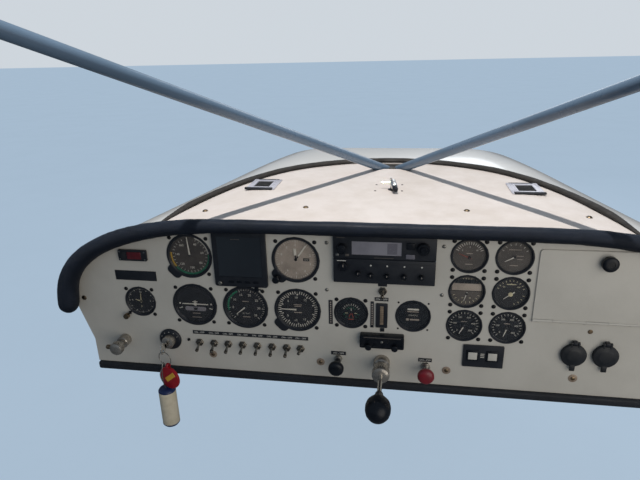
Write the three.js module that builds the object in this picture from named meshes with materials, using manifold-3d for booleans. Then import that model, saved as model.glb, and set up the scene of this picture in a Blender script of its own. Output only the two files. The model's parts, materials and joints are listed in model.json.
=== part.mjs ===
// Cockpit front of a small two-seat floatplane, in millimetres.
// Instrument panel with its padded coaming, the deck and windscreen seal in front of it,
// the top of the boot cowl, and the V-brace tubes that rise from the front cross tube.
//
// Every shape is worked out in cockpit coordinates: X to the pilot's right, Y forward and Z up,
// with zero on the panel's front face, on the centre line, level with the lower instrument row.
// The last group moves the whole assembly so that its origin is the pad of the brace foot.

import * as THREE from 'three';
import { mergeVertices } from 'three/addons/utils/BufferGeometryUtils.js';
import Module from 'manifold-3d';

const wasm = await Module();
wasm.setup();

// Driving dimensions

const GAP = 0.3;

const PANEL = { thick: 2.5, halfWidth: 545, archHeight: 147.6, sideX: 520, sideZ: -80, bottomZ: -125.5 };

// The arch is a flat top that runs into a superellipse shoulder on each side.
const ARCH = { flatShare: 0.412, power: 2.4, shoulderSteps: 9 };

const ROLL = {
  halfWidth: 544.5, height: 148.7, topRadius: 11, endRadius: 18, sides: 12, tipDegrees: [85, 55, 28],
};
const TRIM = { topZ: -125.8, height: 15, front: -6, back: 8, corner: 4.5 };

const SHELL = { halfWidth: 548.2, height: 150, thick: 2, start: 0.2, narrowing: 0.235 };
const NOSE = { end: 700, dropStart: 480, drop: 7 };
const ROOF_STATIONS = [SHELL.start, 240, NOSE.dropStart, 560, 630, NOSE.end];
const DECK = { halfWidth: 370, length: 478 };
const SEAL = {
  halfWidth: 371, length: 479, width: 22, height: 9, shoulder: 5, chamfer: 5, lift: 0.4, steps: 32,
};
const NOTCH = { halfWidth: 44, from: 404, to: 466 };

const TUBE = {
  radius: 9.5, start: 26, length: 900, apex: [0, 460, 131.5], slope: [0.452, -0.82, 0.353], sides: 20,
  clearance: 2, clearanceLength: 160,
};
const TUBE_LUG = { thick: 6, wide: 36, long: 50, reach: 14, hole: 4.8, holeReach: 12 };
const FOOT = { halfWidth: 34, back: 424, front: 476, bottom: 94, top: 147.6, padHalf: 60, padThick: 6 };
const CROSS = { radius: 11, y: 450, halfLength: 390, padRadius: 15, padThick: 6 };

// Both instrument sizes, by the panel hole and screw square of their kind
const LARGE = {
  hole: 39.7, bezel: 39.3, glass: 34.5, screw: 31.43, flange: 41.3, body: 38, depth: 66, sides: 20,
};
const SMALL = {
  hole: 28.6, bezel: 28.2, glass: 24.6, screw: 23.55, flange: 29.4, body: 27, depth: 54, sides: 16,
};
const DIAL = {
  proud: 1.6, sunk: 4, flangeThick: 3, flangeCorner: 0.22, flangeLap: 2, caseLap: 1,
  connectorRadius: 11, connectorLength: 9,
};
const SMALL_SIDES = 8;
const CONTROL_SIDES = 16;
const DIAL_KNOB = { radius: 6, back: -2.2, stem: 3, stemIn: 0.8, hole: 3.6 };
const LOBE = { half: 13.5, inner: 26, outer: 48, corner: 8, lap: 1, turn: 45 };

const FINISH = {
  panelPaint: { color: 0xc9c5bb, roughness: 0.38, metalness: 0.0 },
  deckPaint: { color: 0xd6cdbd, roughness: 0.75, metalness: 0.0 },
  cowlPaint: { color: 0xeceae4, roughness: 0.22, metalness: 0.0 },
  tubePaint: { color: 0x53667a, roughness: 0.35, metalness: 0.1 },
  vinyl: { color: 0x14161c, roughness: 0.62, metalness: 0.0 },
  seal: { color: 0x1d1a18, roughness: 0.8, metalness: 0.0 },
  blackPlastic: { color: 0x101114, roughness: 0.5, metalness: 0.0 },
  redPlastic: { color: 0x8c1420, roughness: 0.4, metalness: 0.0 },
  chrome: { color: 0xd8d8d8, roughness: 0.15, metalness: 1.0 },
  steel: { color: 0x9a9a98, roughness: 0.4, metalness: 0.9 },
  aluminium: { color: 0xb4b6b8, roughness: 0.45, metalness: 0.9 },
  foam: { color: 0xded2bc, roughness: 0.9, metalness: 0.0 },
};

// The pieces are collected here by name, in cockpit coordinates.
const assembly = new THREE.Group();

function add(name, finish, geometry) {
  const mesh = new THREE.Mesh(geometry, new THREE.MeshStandardMaterial(finish));
  mesh.name = name;
  assembly.add(mesh);
}

// Solids and cuts

function toSolid(geometry) {
  const bare = geometry.clone();
  bare.deleteAttribute('normal');
  bare.deleteAttribute('uv');
  const merged = mergeVertices(bare, 1e-4);
  const corners = merged.index.array;
  const kept = [];
  for (let i = 0; i < corners.length; i += 3) {
    const [a, b, c] = [corners[i], corners[i + 1], corners[i + 2]];
    if (a !== b && b !== c && c !== a) kept.push(a, b, c);
  }
  return new wasm.Manifold(new wasm.Mesh({
    numProp: 3,
    vertProperties: Float32Array.from(merged.attributes.position.array),
    triVerts: Uint32Array.from(kept),
  }));
}

function toGeometry(solid) {
  const mesh = solid.getMesh();
  const shared = new THREE.BufferGeometry();
  shared.setAttribute('position', new THREE.BufferAttribute(mesh.vertProperties, 3));
  shared.setIndex(new THREE.BufferAttribute(mesh.triVerts, 1));
  const faceted = shared.toNonIndexed();
  faceted.computeVertexNormals();
  return faceted;
}

function join(first, ...others) {
  return others.reduce((solid, next) => solid.add(next), first);
}

function cut(first, ...others) {
  return others.reduce((solid, next) => solid.subtract(next), first);
}

// Basic shapes, each given as a solid

function block([x0, x1], [y0, y1], [z0, z1]) {
  const box = new THREE.BoxGeometry(x1 - x0, y1 - y0, z1 - z0);
  box.translate((x0 + x1) / 2, (y0 + y1) / 2, (z0 + z1) / 2);
  return toSolid(box);
}

// A body turned about a line along Y through (x, z). The profile lists [radius, y] from front to back.
function turned(profile, sides, x = 0, z = 0) {
  const points = profile.map(([radius, y]) => new THREE.Vector2(radius, y));
  const lathe = new THREE.LatheGeometry(points, sides);
  lathe.translate(x, 0, z);
  return toSolid(lathe);
}

function rodY(radius, [y0, y1], sides, x = 0, z = 0) {
  return turned([[0, y0], [radius, y0], [radius, y1], [0, y1]], sides, x, z);
}

function rodX(radius, [x0, x1], sides, y, z) {
  const rod = new THREE.CylinderGeometry(radius, radius, x1 - x0, sides);
  rod.rotateZ(Math.PI / 2);
  rod.translate((x0 + x1) / 2, y, z);
  return toSolid(rod);
}

// A round rod between two points
function rodBetween(radius, from, to, sides, endRadius = radius) {
  const start = new THREE.Vector3(...from);
  const end = new THREE.Vector3(...to);
  const rod = new THREE.CylinderGeometry(endRadius, radius, start.distanceTo(end), sides);
  const direction = end.clone().sub(start).normalize();
  rod.applyQuaternion(new THREE.Quaternion().setFromUnitVectors(new THREE.Vector3(0, 1, 0), direction));
  rod.translate(...start.clone().add(end).multiplyScalar(0.5).toArray());
  return toSolid(rod);
}

// A rod about a middle point, with half its length given as a vector
function rodAbout(middle, half, radius, sides) {
  return rodBetween(radius, middle.clone().sub(half).toArray(), middle.clone().add(half).toArray(), sides);
}

// A flat piece in the XZ plane, thick along Y
function plateXZ(shape, [y0, y1], curveSegments = 8) {
  const plate = new THREE.ExtrudeGeometry(shape, { depth: y1 - y0, bevelEnabled: false, curveSegments });
  plate.rotateX(Math.PI / 2);
  plate.translate(0, y1, 0);
  return toSolid(plate);
}

function roundedRectangle(x0, x1, z0, z1, radius) {
  const shape = new THREE.Shape();
  shape.moveTo(x0 + radius, z0);
  shape.lineTo(x1 - radius, z0);
  shape.absarc(x1 - radius, z0 + radius, radius, -Math.PI / 2, 0, false);
  shape.lineTo(x1, z1 - radius);
  shape.absarc(x1 - radius, z1 - radius, radius, 0, Math.PI / 2, false);
  shape.lineTo(x0 + radius, z1);
  shape.absarc(x0 + radius, z1 - radius, radius, Math.PI / 2, Math.PI, false);
  shape.lineTo(x0, z0 + radius);
  shape.absarc(x0 + radius, z0 + radius, radius, Math.PI, Math.PI * 1.5, false);
  return shape;
}

// A closed body through rings of equal length. flat() turns a ring point into 2-D for the end caps.
function loft(rings, flat) {
  const count = rings[0].length;
  const positions = rings.flat().flatMap((point) => point.toArray());
  const faces = [];
  for (let i = 0; i + 1 < rings.length; i += 1) {
    for (let j = 0; j < count; j += 1) {
      const a = i * count + j;
      const b = i * count + (j + 1) % count;
      faces.push(a, b, b + count, a, b + count, a + count);
    }
  }
  const last = (rings.length - 1) * count;
  for (const [a, b, c] of capFaces(rings[0].map(flat))) faces.push(c, b, a);
  for (const [a, b, c] of capFaces(rings.at(-1).map(flat))) faces.push(last + a, last + b, last + c);
  return closedBody(positions, faces);
}

// Triangles over an outline, in the same turning direction as the outline
function capFaces(outline) {
  const triangles = THREE.ShapeUtils.triangulateShape(outline, []);
  const areas = triangles.map((corners) => THREE.ShapeUtils.area(corners.map((k) => outline[k])));
  const covered = areas.reduce((sum, area) => sum + area, 0);
  const sameWay = covered * THREE.ShapeUtils.area(outline) > 0;
  return sameWay ? triangles : triangles.map(([a, b, c]) => [c, b, a]);
}

// The faces are turned round if they enclose a negative volume.
function closedBody(positions, faces) {
  const corner = (k) => new THREE.Vector3().fromArray(positions, faces[k] * 3);
  let volume = 0;
  for (let i = 0; i < faces.length; i += 3) {
    volume += corner(i).dot(corner(i + 1).cross(corner(i + 2)));
  }
  const ordered = volume > 0 ? faces : faces.slice().reverse();
  const geometry = new THREE.BufferGeometry();
  geometry.setAttribute('position', new THREE.Float32BufferAttribute(positions, 3));
  geometry.setIndex(ordered);
  return toSolid(geometry);
}

// Points of an arch from its left foot over the top to its right foot
function archPoints(halfWidth, height, steps = ARCH.shoulderSteps) {
  const shoulder = halfWidth * ARCH.flatShare;
  const right = [];
  for (let k = 0; k <= steps; k += 1) {
    const angle = (k / steps) * Math.PI / 2;
    const across = Math.cos(angle) < 1e-9 ? 0 : Math.cos(angle) ** (2 / ARCH.power);
    const up = Math.sin(angle) ** (2 / ARCH.power);
    right.push([shoulder + (halfWidth - shoulder) * across, height * up]);
  }
  const left = right.map(([x, z]) => [-x, z]);
  return [...left, ...right.reverse()];
}

// The roof of the boot cowl: its half width and height at a station, and its height at a point
function roofHalfWidth(y) {
  return SHELL.halfWidth - SHELL.narrowing * y;
}

function roofHeight(y) {
  const past = Math.max(0, y - NOSE.dropStart) / (NOSE.end - NOSE.dropStart);
  return SHELL.height - NOSE.drop * past * past;
}

function roofZ(x, y) {
  const halfWidth = roofHalfWidth(y);
  const shoulder = halfWidth * ARCH.flatShare;
  const across = Math.max(0, Math.abs(x) - shoulder) / (halfWidth - shoulder);
  return roofHeight(y) * (1 - across ** ARCH.power) ** (1 / ARCH.power);
}

// Panel plate with its cut-outs

// name, centre x, centre z, kind, lobe at the lower left of the bezel, front face of the knob there
const INSTRUMENTS = [
  ['airspeed_indicator', -320.1, 89.8, LARGE, true, null],
  ['altimeter', -140.9, 89.8, LARGE, true, -14],
  ['turn_coordinator', -320.1, 0, LARGE, false, null],
  ['tachometer', -230.5, 0, LARGE, false, null],
  ['climb_indicator', -140.9, 0, LARGE, true, null],
  ['clock', -419.3, 0.8, SMALL, false, -11],
  ['trim_gauge', -51.8, 0.1, SMALL, false, null],
  ['hour_meter', 48.1, 0.1, SMALL, false, null],
  ['engine_gauge_1', 128.5, 107.4, SMALL, false, null],
  ['engine_gauge_2', 194.2, 107.4, SMALL, false, null],
  ['engine_gauge_3', 128.5, 48.0, SMALL, false, null],
  ['engine_gauge_4', 194.2, 48.0, SMALL, false, null],
  ['engine_gauge_5', 128.5, -11.6, SMALL, false, null],
  ['engine_gauge_6', 194.2, -11.6, SMALL, false, null],
];

const DISPLAY = {
  x: [-277.4, -187.6], z: [40.4, 136.6], front: -6, corner: 4, neckEnd: 62,
  screenX: [-270, -195], screenZ: [58, 128], screenDepth: 1.6,
};

const RADIO = {
  x: [-79, 79], front: -7, windowX: [-50, 27], windowZ: [105.4, 127.8], windowDepth: 1.5, knobFront: -20,
};

// name, z range, depth behind the panel
const RADIOS = [
  ['radio_upper', [98.7, 137.0], 225],
  ['radio_lower', [57.5, 98.3], 205],
];

// x, z and radius of the upper radio's knobs
const RADIO_KNOBS = [
  [-65, 117, 7.5],
  [59.4, 120, 9.3],
];

const SWITCH_Z = -73;
const SWITCH_X = [-318.6, -292.1, -266.6, -240.6, -214.2, -188.1, -162.4, -138.3];
const SWITCH = {
  hole: 5.6, bush: 5.2, bushFront: -6, nut: 6.4, nutFront: -3, lever: 2.2, tip: 2.9, pivotY: -4,
  leverLength: 16, drop: 0.45, bodyHalfX: 6.5, bodyHalfZ: 13, bodyDepth: 24,
};
const BUS_BAR = { y: [26, 29], halfZ: 4 };
const CENTRE_TOGGLE = [-1.1, 42.6];

const BOX_CORNER = 1.5;

// name, x range, z range, front, neck margin, depth behind the panel
const BOXES = [
  ['warning_light', [-444.4, -394.2], [78.8, 98.2], -5, 4, 20],
  ['flap_indicator', [-11.2, 7.6], [-22.7, 20.9], -3, 3, 25],
  ['intercom_box', [-36.6, 35.3], [-62.5, -33.4], -13, 6, 40],
  ['button_plate', [130, 193.5], [-85, -44.8], -3, 6, 30],
];

const SOCKETS = [
  ['left', 296.6, -51.1],
  ['right', 343.1, -49.9],
];
const SOCKET = {
  flange: 18.7, front: -3.9, barrel: 14.2, bore: 10.8, boreEnd: 40, end: 45, hole: 14.6, sides: 20,
};
const SOCKET_HINGE = { halfX: 3.2, footUp: 14, headFront: -8, headDown: 2.4, headUp: 2.8 };
const LID = {
  radius: 19.2, y: [-7.2, -4.2], axisY: -5.4, axisUp: 22, pin: 1, pinHalf: 5, tabHalf: 4.2, tabEnd: -27,
  ear: 2.6, earX: [3.7, 6.7], earFoot: 15, notchHalf: 3.8, notchIn: 1.4,
};

// name, x, z, panel hole radius
const ROUND_CONTROLS = [
  ['throttle', -0.3, -88.7, 11],
  ['mixture_control', 71.5, -91.2, 6],
  ['carb_heat_control', -73.8, -87.6, 6],
  ['primer', -458.7, -76.1, 9],
  ['ignition_switch', -372.5, -70.2, 14],
];

const DOOR = { x: [229.3, 418], z: [8.3, 122.7], y: [-2.3, -0.3], corner: 5, farCorner: 40 };
const HINGE = {
  y: -2.3, z: 6, radius: 2, bore: 1.1, pin: 0.8, lengths: [30, 48, 32, 48, 30], gap: 0.4,
  webStart: 0.5, webOver: 1, webLap: 0.2, webIn: 0.5,
};
const BIN = { x: [238, 385], z: [12, 112], end: 140, wall: 3 };
const DOOR_KNOB = { x: 324.4, z: 105.8, radius: 11.5, front: -14, heel: -5, shaft: 3, back: 5 };

// A round hole with a multiple of four sides, so that its corners line up with those of a turned body
function holePath(x, z, radius, sides) {
  const corners = Array.from({ length: sides }, (unused, k) => {
    const angle = -(k / sides) * Math.PI * 2;
    return new THREE.Vector2(x + radius * Math.cos(angle), z + radius * Math.sin(angle));
  });
  return new THREE.Path(corners);
}

// The outline runs anticlockwise, as the holes in it run clockwise.
function panelOutline() {
  const shape = new THREE.Shape();
  shape.moveTo(-PANEL.sideX, PANEL.bottomZ);
  shape.lineTo(PANEL.sideX, PANEL.bottomZ);
  shape.lineTo(PANEL.sideX, PANEL.sideZ);
  for (const [x, z] of archPoints(PANEL.halfWidth, PANEL.archHeight).reverse()) shape.lineTo(x, z);
  shape.lineTo(-PANEL.sideX, PANEL.sideZ);
  shape.closePath();
  return shape;
}

function knuckleSpans() {
  const spans = [];
  let x = DOOR.x[0];
  for (const length of HINGE.lengths) {
    spans.push([x, x + length - HINGE.gap]);
    x += length;
  }
  return spans;
}

// Hinge knuckles with their bore. towards says on which side their web runs: -1 down, 1 up.
function knuckles(spans, towards) {
  const parts = spans.map((span) => {
    const barrel = rodX(HINGE.radius, span, 12, HINGE.y, HINGE.z);
    const webZ = [HINGE.webStart, HINGE.radius + HINGE.webOver].map((out) => HINGE.z + towards * out);
    const webEnd = towards < 0 ? HINGE.webIn : DOOR.y[1];
    return barrel.add(block(span, [HINGE.y - HINGE.webLap, webEnd], webZ.sort((a, b) => a - b)));
  });
  const bore = rodX(HINGE.bore, [DOOR.x[0] - 1, DOOR.x[1] + 1], 10, HINGE.y, HINGE.z);
  return cut(join(...parts), bore);
}

function panelPlate() {
  const shape = panelOutline();
  for (const [, x, z, kind, , knobFront] of INSTRUMENTS) {
    shape.holes.push(holePath(x, z, kind.hole, kind.sides));
    if (knobFront !== null) {
      shape.holes.push(holePath(x - kind.screw, z - kind.screw, DIAL_KNOB.hole, SMALL_SIDES));
    }
  }
  const displayAt = [(DISPLAY.x[0] + DISPLAY.x[1]) / 2, (DISPLAY.z[0] + DISPLAY.z[1]) / 2];
  shape.holes.push(holePath(...displayAt, LARGE.hole, LARGE.sides));
  for (const [, x, z, radius] of ROUND_CONTROLS) {
    shape.holes.push(holePath(x, z, radius + 0.4, CONTROL_SIDES));
  }
  for (const [, x, z] of SOCKETS) shape.holes.push(holePath(x, z, SOCKET.hole, SOCKET.sides));
  for (const x of SWITCH_X) shape.holes.push(holePath(x, SWITCH_Z, SWITCH.hole, SMALL_SIDES));
  shape.holes.push(holePath(...CENTRE_TOGGLE, SWITCH.hole, SMALL_SIDES));
  const plate = plateXZ(shape, [0, PANEL.thick]);
  const through = [-1, PANEL.thick + 1];
  const margin = 0.5;
  const widened = ([low, high]) => [low - margin, high + margin];
  const square = (spanX, spanZ) => block(widened(spanX), through, widened(spanZ));
  const openings = [
    square(RADIO.x, [RADIOS[1][1][0], RADIOS[0][1][1]]),
    block(BIN.x, through, BIN.z),
    ...BOXES.map(([, x, z, , inset]) => square([x[0] + inset, x[1] - inset], [z[0] + inset, z[1] - inset])),
  ];
  const fixedKnuckles = knuckles(knuckleSpans().filter((span, k) => k % 2 === 0), -1);
  return cut(plate, ...openings).add(fixedKnuckles);
}

add('panel_plate', FINISH.panelPaint, toGeometry(panelPlate()));

// Padded coaming roll: a round section carried over the arch, thicker towards its ends

function coamingRoll() {
  const path = archPoints(ROLL.halfWidth, ROLL.height);
  const stations = path.map(([x, z], k) => {
    const before = path[Math.max(0, k - 1)];
    const after = path[Math.min(path.length - 1, k + 1)];
    const along = new THREE.Vector2(after[0] - before[0], after[1] - before[1]).normalize();
    const share = 1 - z / ROLL.height;
    const radius = ROLL.topRadius + (ROLL.endRadius - ROLL.topRadius) * Math.sqrt(share);
    return { x, z, along, radius, lay: radius };
  });
  stations[0].along.set(0, 1);
  stations.at(-1).along.set(0, -1);
  const tip = (end, sign) => ROLL.tipDegrees.map((degrees) => {
    const angle = THREE.MathUtils.degToRad(degrees);
    return {
      ...end,
      z: end.z - end.radius * Math.sin(angle),
      radius: end.radius * Math.cos(angle),
      along: new THREE.Vector2(0, sign),
    };
  });
  const all = [...tip(stations[0], 1), ...stations, ...tip(stations.at(-1), -1).reverse()];
  const rings = all.map(({ x, z, along, radius, lay }) => {
    const ring = [];
    for (let k = 0; k < ROLL.sides; k += 1) {
      const angle = (k / ROLL.sides) * Math.PI * 2;
      const out = radius * Math.cos(angle);
      const y = radius * Math.sin(angle) - lay - GAP;
      ring.push(new THREE.Vector3(x - along.y * out, y, z + along.x * out));
    }
    return ring;
  });
  return loft(rings, (point) => new THREE.Vector2(point.x, point.y));
}

add('coaming_roll', FINISH.vinyl, toGeometry(coamingRoll()));

// Rounded trim under the panel's lower edge

function lowerTrim() {
  const middle = (TRIM.front + TRIM.back) / 2;
  const half = (TRIM.back - TRIM.front) / 2;
  const section = roundedRectangle(-half, half, -TRIM.height, 0, TRIM.corner);
  const bar = new THREE.ExtrudeGeometry(section, {
    depth: PANEL.sideX * 2, bevelEnabled: false, curveSegments: 4,
  });
  // The section's own x runs along Y and its extrusion along X.
  bar.applyMatrix4(new THREE.Matrix4().makeBasis(
    new THREE.Vector3(0, 1, 0), new THREE.Vector3(0, 0, 1), new THREE.Vector3(1, 0, 0)));
  bar.translate(-PANEL.sideX, middle, TRIM.topZ);
  return toSolid(bar);
}

add('lower_trim', FINISH.vinyl, toGeometry(lowerTrim()));

// Angle brackets that tie the panel's ends to the fuselage uprights

const BRACKET = { x: [494, 519.5], z: [-116, -22], thick: 3, depth: 42 };

function sideBracket(side) {
  const front = PANEL.thick + GAP;
  const spanX = (a, b) => (side < 0 ? [-b, -a] : [a, b]);
  const foot = block(spanX(BRACKET.x[0], BRACKET.x[1]), [front, front + BRACKET.thick], BRACKET.z);
  const wing = block(spanX(BRACKET.x[1] - BRACKET.thick, BRACKET.x[1]), [front, front + BRACKET.depth],
    BRACKET.z);
  return foot.add(wing);
}

add('side_bracket_left', FINISH.steel, toGeometry(sideBracket(-1)));
add('side_bracket_right', FINISH.steel, toGeometry(sideBracket(1)));

// Round instruments: a recessed dial in a bezel, a square flange behind the panel and the case

// The bezel's ear that reaches past the screws to where the knob stands
function bezelLobe(x, z, kind) {
  const outline = roundedRectangle(-LOBE.half, LOBE.half, -LOBE.outer, -LOBE.inner, LOBE.corner);
  const lobe = plateXZ(outline, [-DIAL.proud, -GAP], 3).rotate([0, LOBE.turn, 0]).translate([x, 0, z]);
  return cut(lobe, rodY(kind.glass + LOBE.lap, [-DIAL.proud - 1, 0], kind.sides, x, z));
}

function instrument(x, z, kind, hasLobe, knobFront) {
  const flangeFront = PANEL.thick + GAP;
  const flangeBack = flangeFront + DIAL.flangeThick;
  const bezelEnd = flangeFront + DIAL.caseLap;
  const body = turned([
    [0, DIAL.sunk],
    [kind.glass, DIAL.sunk],
    [kind.glass, -DIAL.proud],
    [kind.bezel, -DIAL.proud],
    [kind.bezel, bezelEnd],
    [kind.body, bezelEnd],
    [kind.body, kind.depth],
    [DIAL.connectorRadius, kind.depth],
    [DIAL.connectorRadius, kind.depth + DIAL.connectorLength],
    [0, kind.depth + DIAL.connectorLength],
  ], kind.sides, x, z);
  const square = roundedRectangle(
    x - kind.flange, x + kind.flange, z - kind.flange, z + kind.flange, kind.flange * DIAL.flangeCorner);
  const flange = plateXZ(square, [flangeFront, flangeBack], 1);
  // The plate is opened where the dial is sunk, so that it only stands outside the case.
  const opening = rodY(kind.body - DIAL.flangeLap, [flangeFront - 1, flangeBack + 1], kind.sides, x, z);
  const ring = cut(flange, opening);
  const cased = body.add(ring);
  const solid = hasLobe ? cased.add(bezelLobe(x, z, kind)) : cased;
  if (knobFront === null) return solid;
  const knobX = x - kind.screw;
  const knobZ = z - kind.screw;
  const shaft = rodY(DIAL_KNOB.stem, [knobFront + DIAL_KNOB.stemIn, bezelEnd], SMALL_SIDES, knobX, knobZ);
  const grip = rodY(DIAL_KNOB.radius, [knobFront, DIAL_KNOB.back], SMALL_SIDES, knobX, knobZ);
  return join(solid, shaft, grip);
}

for (const [name, x, z, kind, hasLobe, knobFront] of INSTRUMENTS) {
  add(name, FINISH.blackPlastic, toGeometry(instrument(x, z, kind, hasLobe, knobFront)));
}

// Square moving-map display on a round neck

function displayUnit() {
  const x = (DISPLAY.x[0] + DISPLAY.x[1]) / 2;
  const z = (DISPLAY.z[0] + DISPLAY.z[1]) / 2;
  const outline = roundedRectangle(...DISPLAY.x, ...DISPLAY.z, DISPLAY.corner);
  const housing = plateXZ(outline, [DISPLAY.front, -GAP], 3);
  const neck = rodY(LARGE.body, [-1, DISPLAY.neckEnd], LARGE.sides, x, z);
  const screen = block(DISPLAY.screenX, [DISPLAY.front - 1, DISPLAY.front + DISPLAY.screenDepth],
    DISPLAY.screenZ);
  return cut(housing.add(neck), screen);
}

add('map_display', FINISH.blackPlastic, toGeometry(displayUnit()));

// Radio stack

RADIOS.forEach(([name, z, depth], row) => {
  let unit = block(RADIO.x, [RADIO.front, depth], z);
  if (row === 0) {
    const window = block(RADIO.windowX, [RADIO.front - 1, RADIO.front + RADIO.windowDepth], RADIO.windowZ);
    const knobs = RADIO_KNOBS.map(([x, knobZ, radius]) => rodY(
      radius, [RADIO.knobFront, RADIO.front + 1], CONTROL_SIDES, x, knobZ));
    unit = join(cut(unit, window), ...knobs);
  }
  add(name, FINISH.blackPlastic, toGeometry(unit));
});

// Small boxed units: a face on the panel and a neck through its cut-out

function boxedUnit(x, z, front, inset, depth) {
  const face = plateXZ(roundedRectangle(...x, ...z, BOX_CORNER), [front, -GAP], 2);
  const neck = block([x[0] + inset, x[1] - inset], [-1, depth], [z[0] + inset, z[1] - inset]);
  return face.add(neck);
}

const STUB = { x: [-23.5, 21.5], y: -6.5, radius: 5, up: 2, down: 6, sides: 12 };
const PUSH_BUTTON = { x: [[136.5, 158.5], [165, 187]], z: [-76, -54], proud: 2.5 };

for (const [name, x, z, front, inset, depth] of BOXES) {
  let unit = boxedUnit(x, z, front, inset, depth);
  if (name === 'intercom_box') {
    const stubs = STUB.x.map((stubX) => rodBetween(
      STUB.radius, [stubX, STUB.y, z[0] + STUB.up], [stubX, STUB.y, z[0] - STUB.down], STUB.sides));
    unit = join(unit, ...stubs);
  }
  if (name === 'button_plate') {
    unit = join(unit, ...PUSH_BUTTON.x.map((span) => block(
      span, [front - PUSH_BUTTON.proud, front + 1], PUSH_BUTTON.z)));
  }
  add(name, FINISH.blackPlastic, toGeometry(unit));
}

// Toggle switches, their cases tied together by a bus bar behind the panel

function toggle(x, z) {
  const back = PANEL.thick + GAP;
  const nut = rodY(SWITCH.nut, [SWITCH.nutFront, -GAP], 6, x, z);
  const bush = rodY(SWITCH.bush, [SWITCH.bushFront, back + 1], SMALL_SIDES, x, z);
  const reach = SWITCH.leverLength * Math.cos(SWITCH.drop);
  const fall = SWITCH.leverLength * Math.sin(SWITCH.drop);
  const tip = [x, SWITCH.pivotY - reach, z - fall];
  const lever = rodBetween(SWITCH.lever, [x, SWITCH.pivotY, z], tip, 6, SWITCH.tip);
  const body = block([x - SWITCH.bodyHalfX, x + SWITCH.bodyHalfX], [back, back + SWITCH.bodyDepth],
    [z - SWITCH.bodyHalfZ, z + SWITCH.bodyHalfZ]);
  return join(nut, bush, lever, body);
}

const busBar = block([SWITCH_X[0], SWITCH_X.at(-1)], BUS_BAR.y,
  [SWITCH_Z - BUS_BAR.halfZ, SWITCH_Z + BUS_BAR.halfZ]);
add('toggle_switches', FINISH.chrome, toGeometry(join(busBar, ...SWITCH_X.map((x) => toggle(x, SWITCH_Z)))));
add('centre_toggle', FINISH.chrome, toGeometry(toggle(...CENTRE_TOGGLE)));

// Push-pull controls and the ignition switch, each turned about its own line through the panel

// Profiles list [radius, y] from the tip to the back.
const CONTROL_PROFILES = {
  throttle: [
    [0, -146], [12, -143], [19, -130], [18, -114], [9, -92], [4, -85], [4, -44],
    [14.2, -42], [14.2, -29], [10.5, -27], [10.5, -18], [13.6, -14], [13.6, -GAP], [11, -GAP],
    [11, 20], [5, 22], [5, 60], [0, 60],
  ],
  mixture_control: [
    [0, -37], [8, -36], [13.4, -31], [13.4, -26], [4, -18], [4, -6],
    [7.5, -5.5], [7.5, -GAP], [6, -GAP], [6, 18], [3, 20], [3, 50], [0, 50],
  ],
  carb_heat_control: [
    [0, -38], [8, -37], [12.8, -32], [12.8, -27], [5.4, -18], [5.4, -6],
    [6.9, -5.5], [6.9, -GAP], [6, -GAP], [6, 18], [3, 20], [3, 50], [0, 50],
  ],
  primer: [
    [0, -40], [9, -39], [11.8, -36], [11.8, -27], [9, -24], [5, -22], [5, -17], [10.4, -16],
    [10.4, -GAP], [9, -GAP], [9, 40], [6, 44], [6, 80], [0, 80],
  ],
  ignition_switch: [
    [0, -17], [9, -17], [10.2, -15.5], [10.2, -7], [15, -6], [19, -4.5], [20, -2.5], [20, -GAP],
    [14, -GAP], [14, 34], [0, 34],
  ],
};

const controlAt = Object.fromEntries(ROUND_CONTROLS.map(([name, x, z]) => [name, [x, z]]));

function control(name) {
  return turned(CONTROL_PROFILES[name], CONTROL_SIDES, ...controlAt[name]);
}

const PRIMER_TIP = { radius: 4, from: -20, to: -8, y: -31.5, up: 1, sides: 12 };
const [primerX, primerZ] = controlAt.primer;
const primerPin = rodX(PRIMER_TIP.radius, [primerX + PRIMER_TIP.from, primerX + PRIMER_TIP.to],
  PRIMER_TIP.sides, PRIMER_TIP.y, primerZ + PRIMER_TIP.up);
add('throttle', FINISH.chrome, toGeometry(control('throttle')));
add('mixture_control', FINISH.redPlastic, toGeometry(control('mixture_control')));
add('carb_heat_control', FINISH.blackPlastic, toGeometry(control('carb_heat_control')));
add('primer', FINISH.chrome, toGeometry(control('primer').add(primerPin)));

// Ignition lock with its key slot, and the key with what hangs from it

const [lockX, lockZ] = controlAt.ignition_switch;
const KEY_SLOT = { halfX: 1.6, y: [-20, -6], halfZ: 4.4 };
const KEY = {
  bladeY: [-31, -7], bladeHalfZ: 3.5, halfX: 1,
  bowY: -33.5, bowRadius: 10, holeY: -36, holeDown: 3.6, hole: 3.2,
};
const keySlot = block([lockX - KEY_SLOT.halfX, lockX + KEY_SLOT.halfX], KEY_SLOT.y,
  [lockZ - KEY_SLOT.halfZ, lockZ + KEY_SLOT.halfZ]);
add('ignition_switch', FINISH.blackPlastic, toGeometry(cut(control('ignition_switch'), keySlot)));

function ignitionKey() {
  const spanX = [lockX - KEY.halfX, lockX + KEY.halfX];
  const blade = block(spanX, KEY.bladeY, [lockZ - KEY.bladeHalfZ, lockZ + KEY.bladeHalfZ]);
  const bow = rodX(KEY.bowRadius, spanX, 20, KEY.bowY, lockZ);
  const through = [spanX[0] - 1, spanX[1] + 1];
  const hole = rodX(KEY.hole, through, CONTROL_SIDES, KEY.holeY, lockZ - KEY.holeDown);
  return cut(blade.add(bow), hole);
}

add('ignition_key', FINISH.chrome, toGeometry(ignitionKey()));

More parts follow.
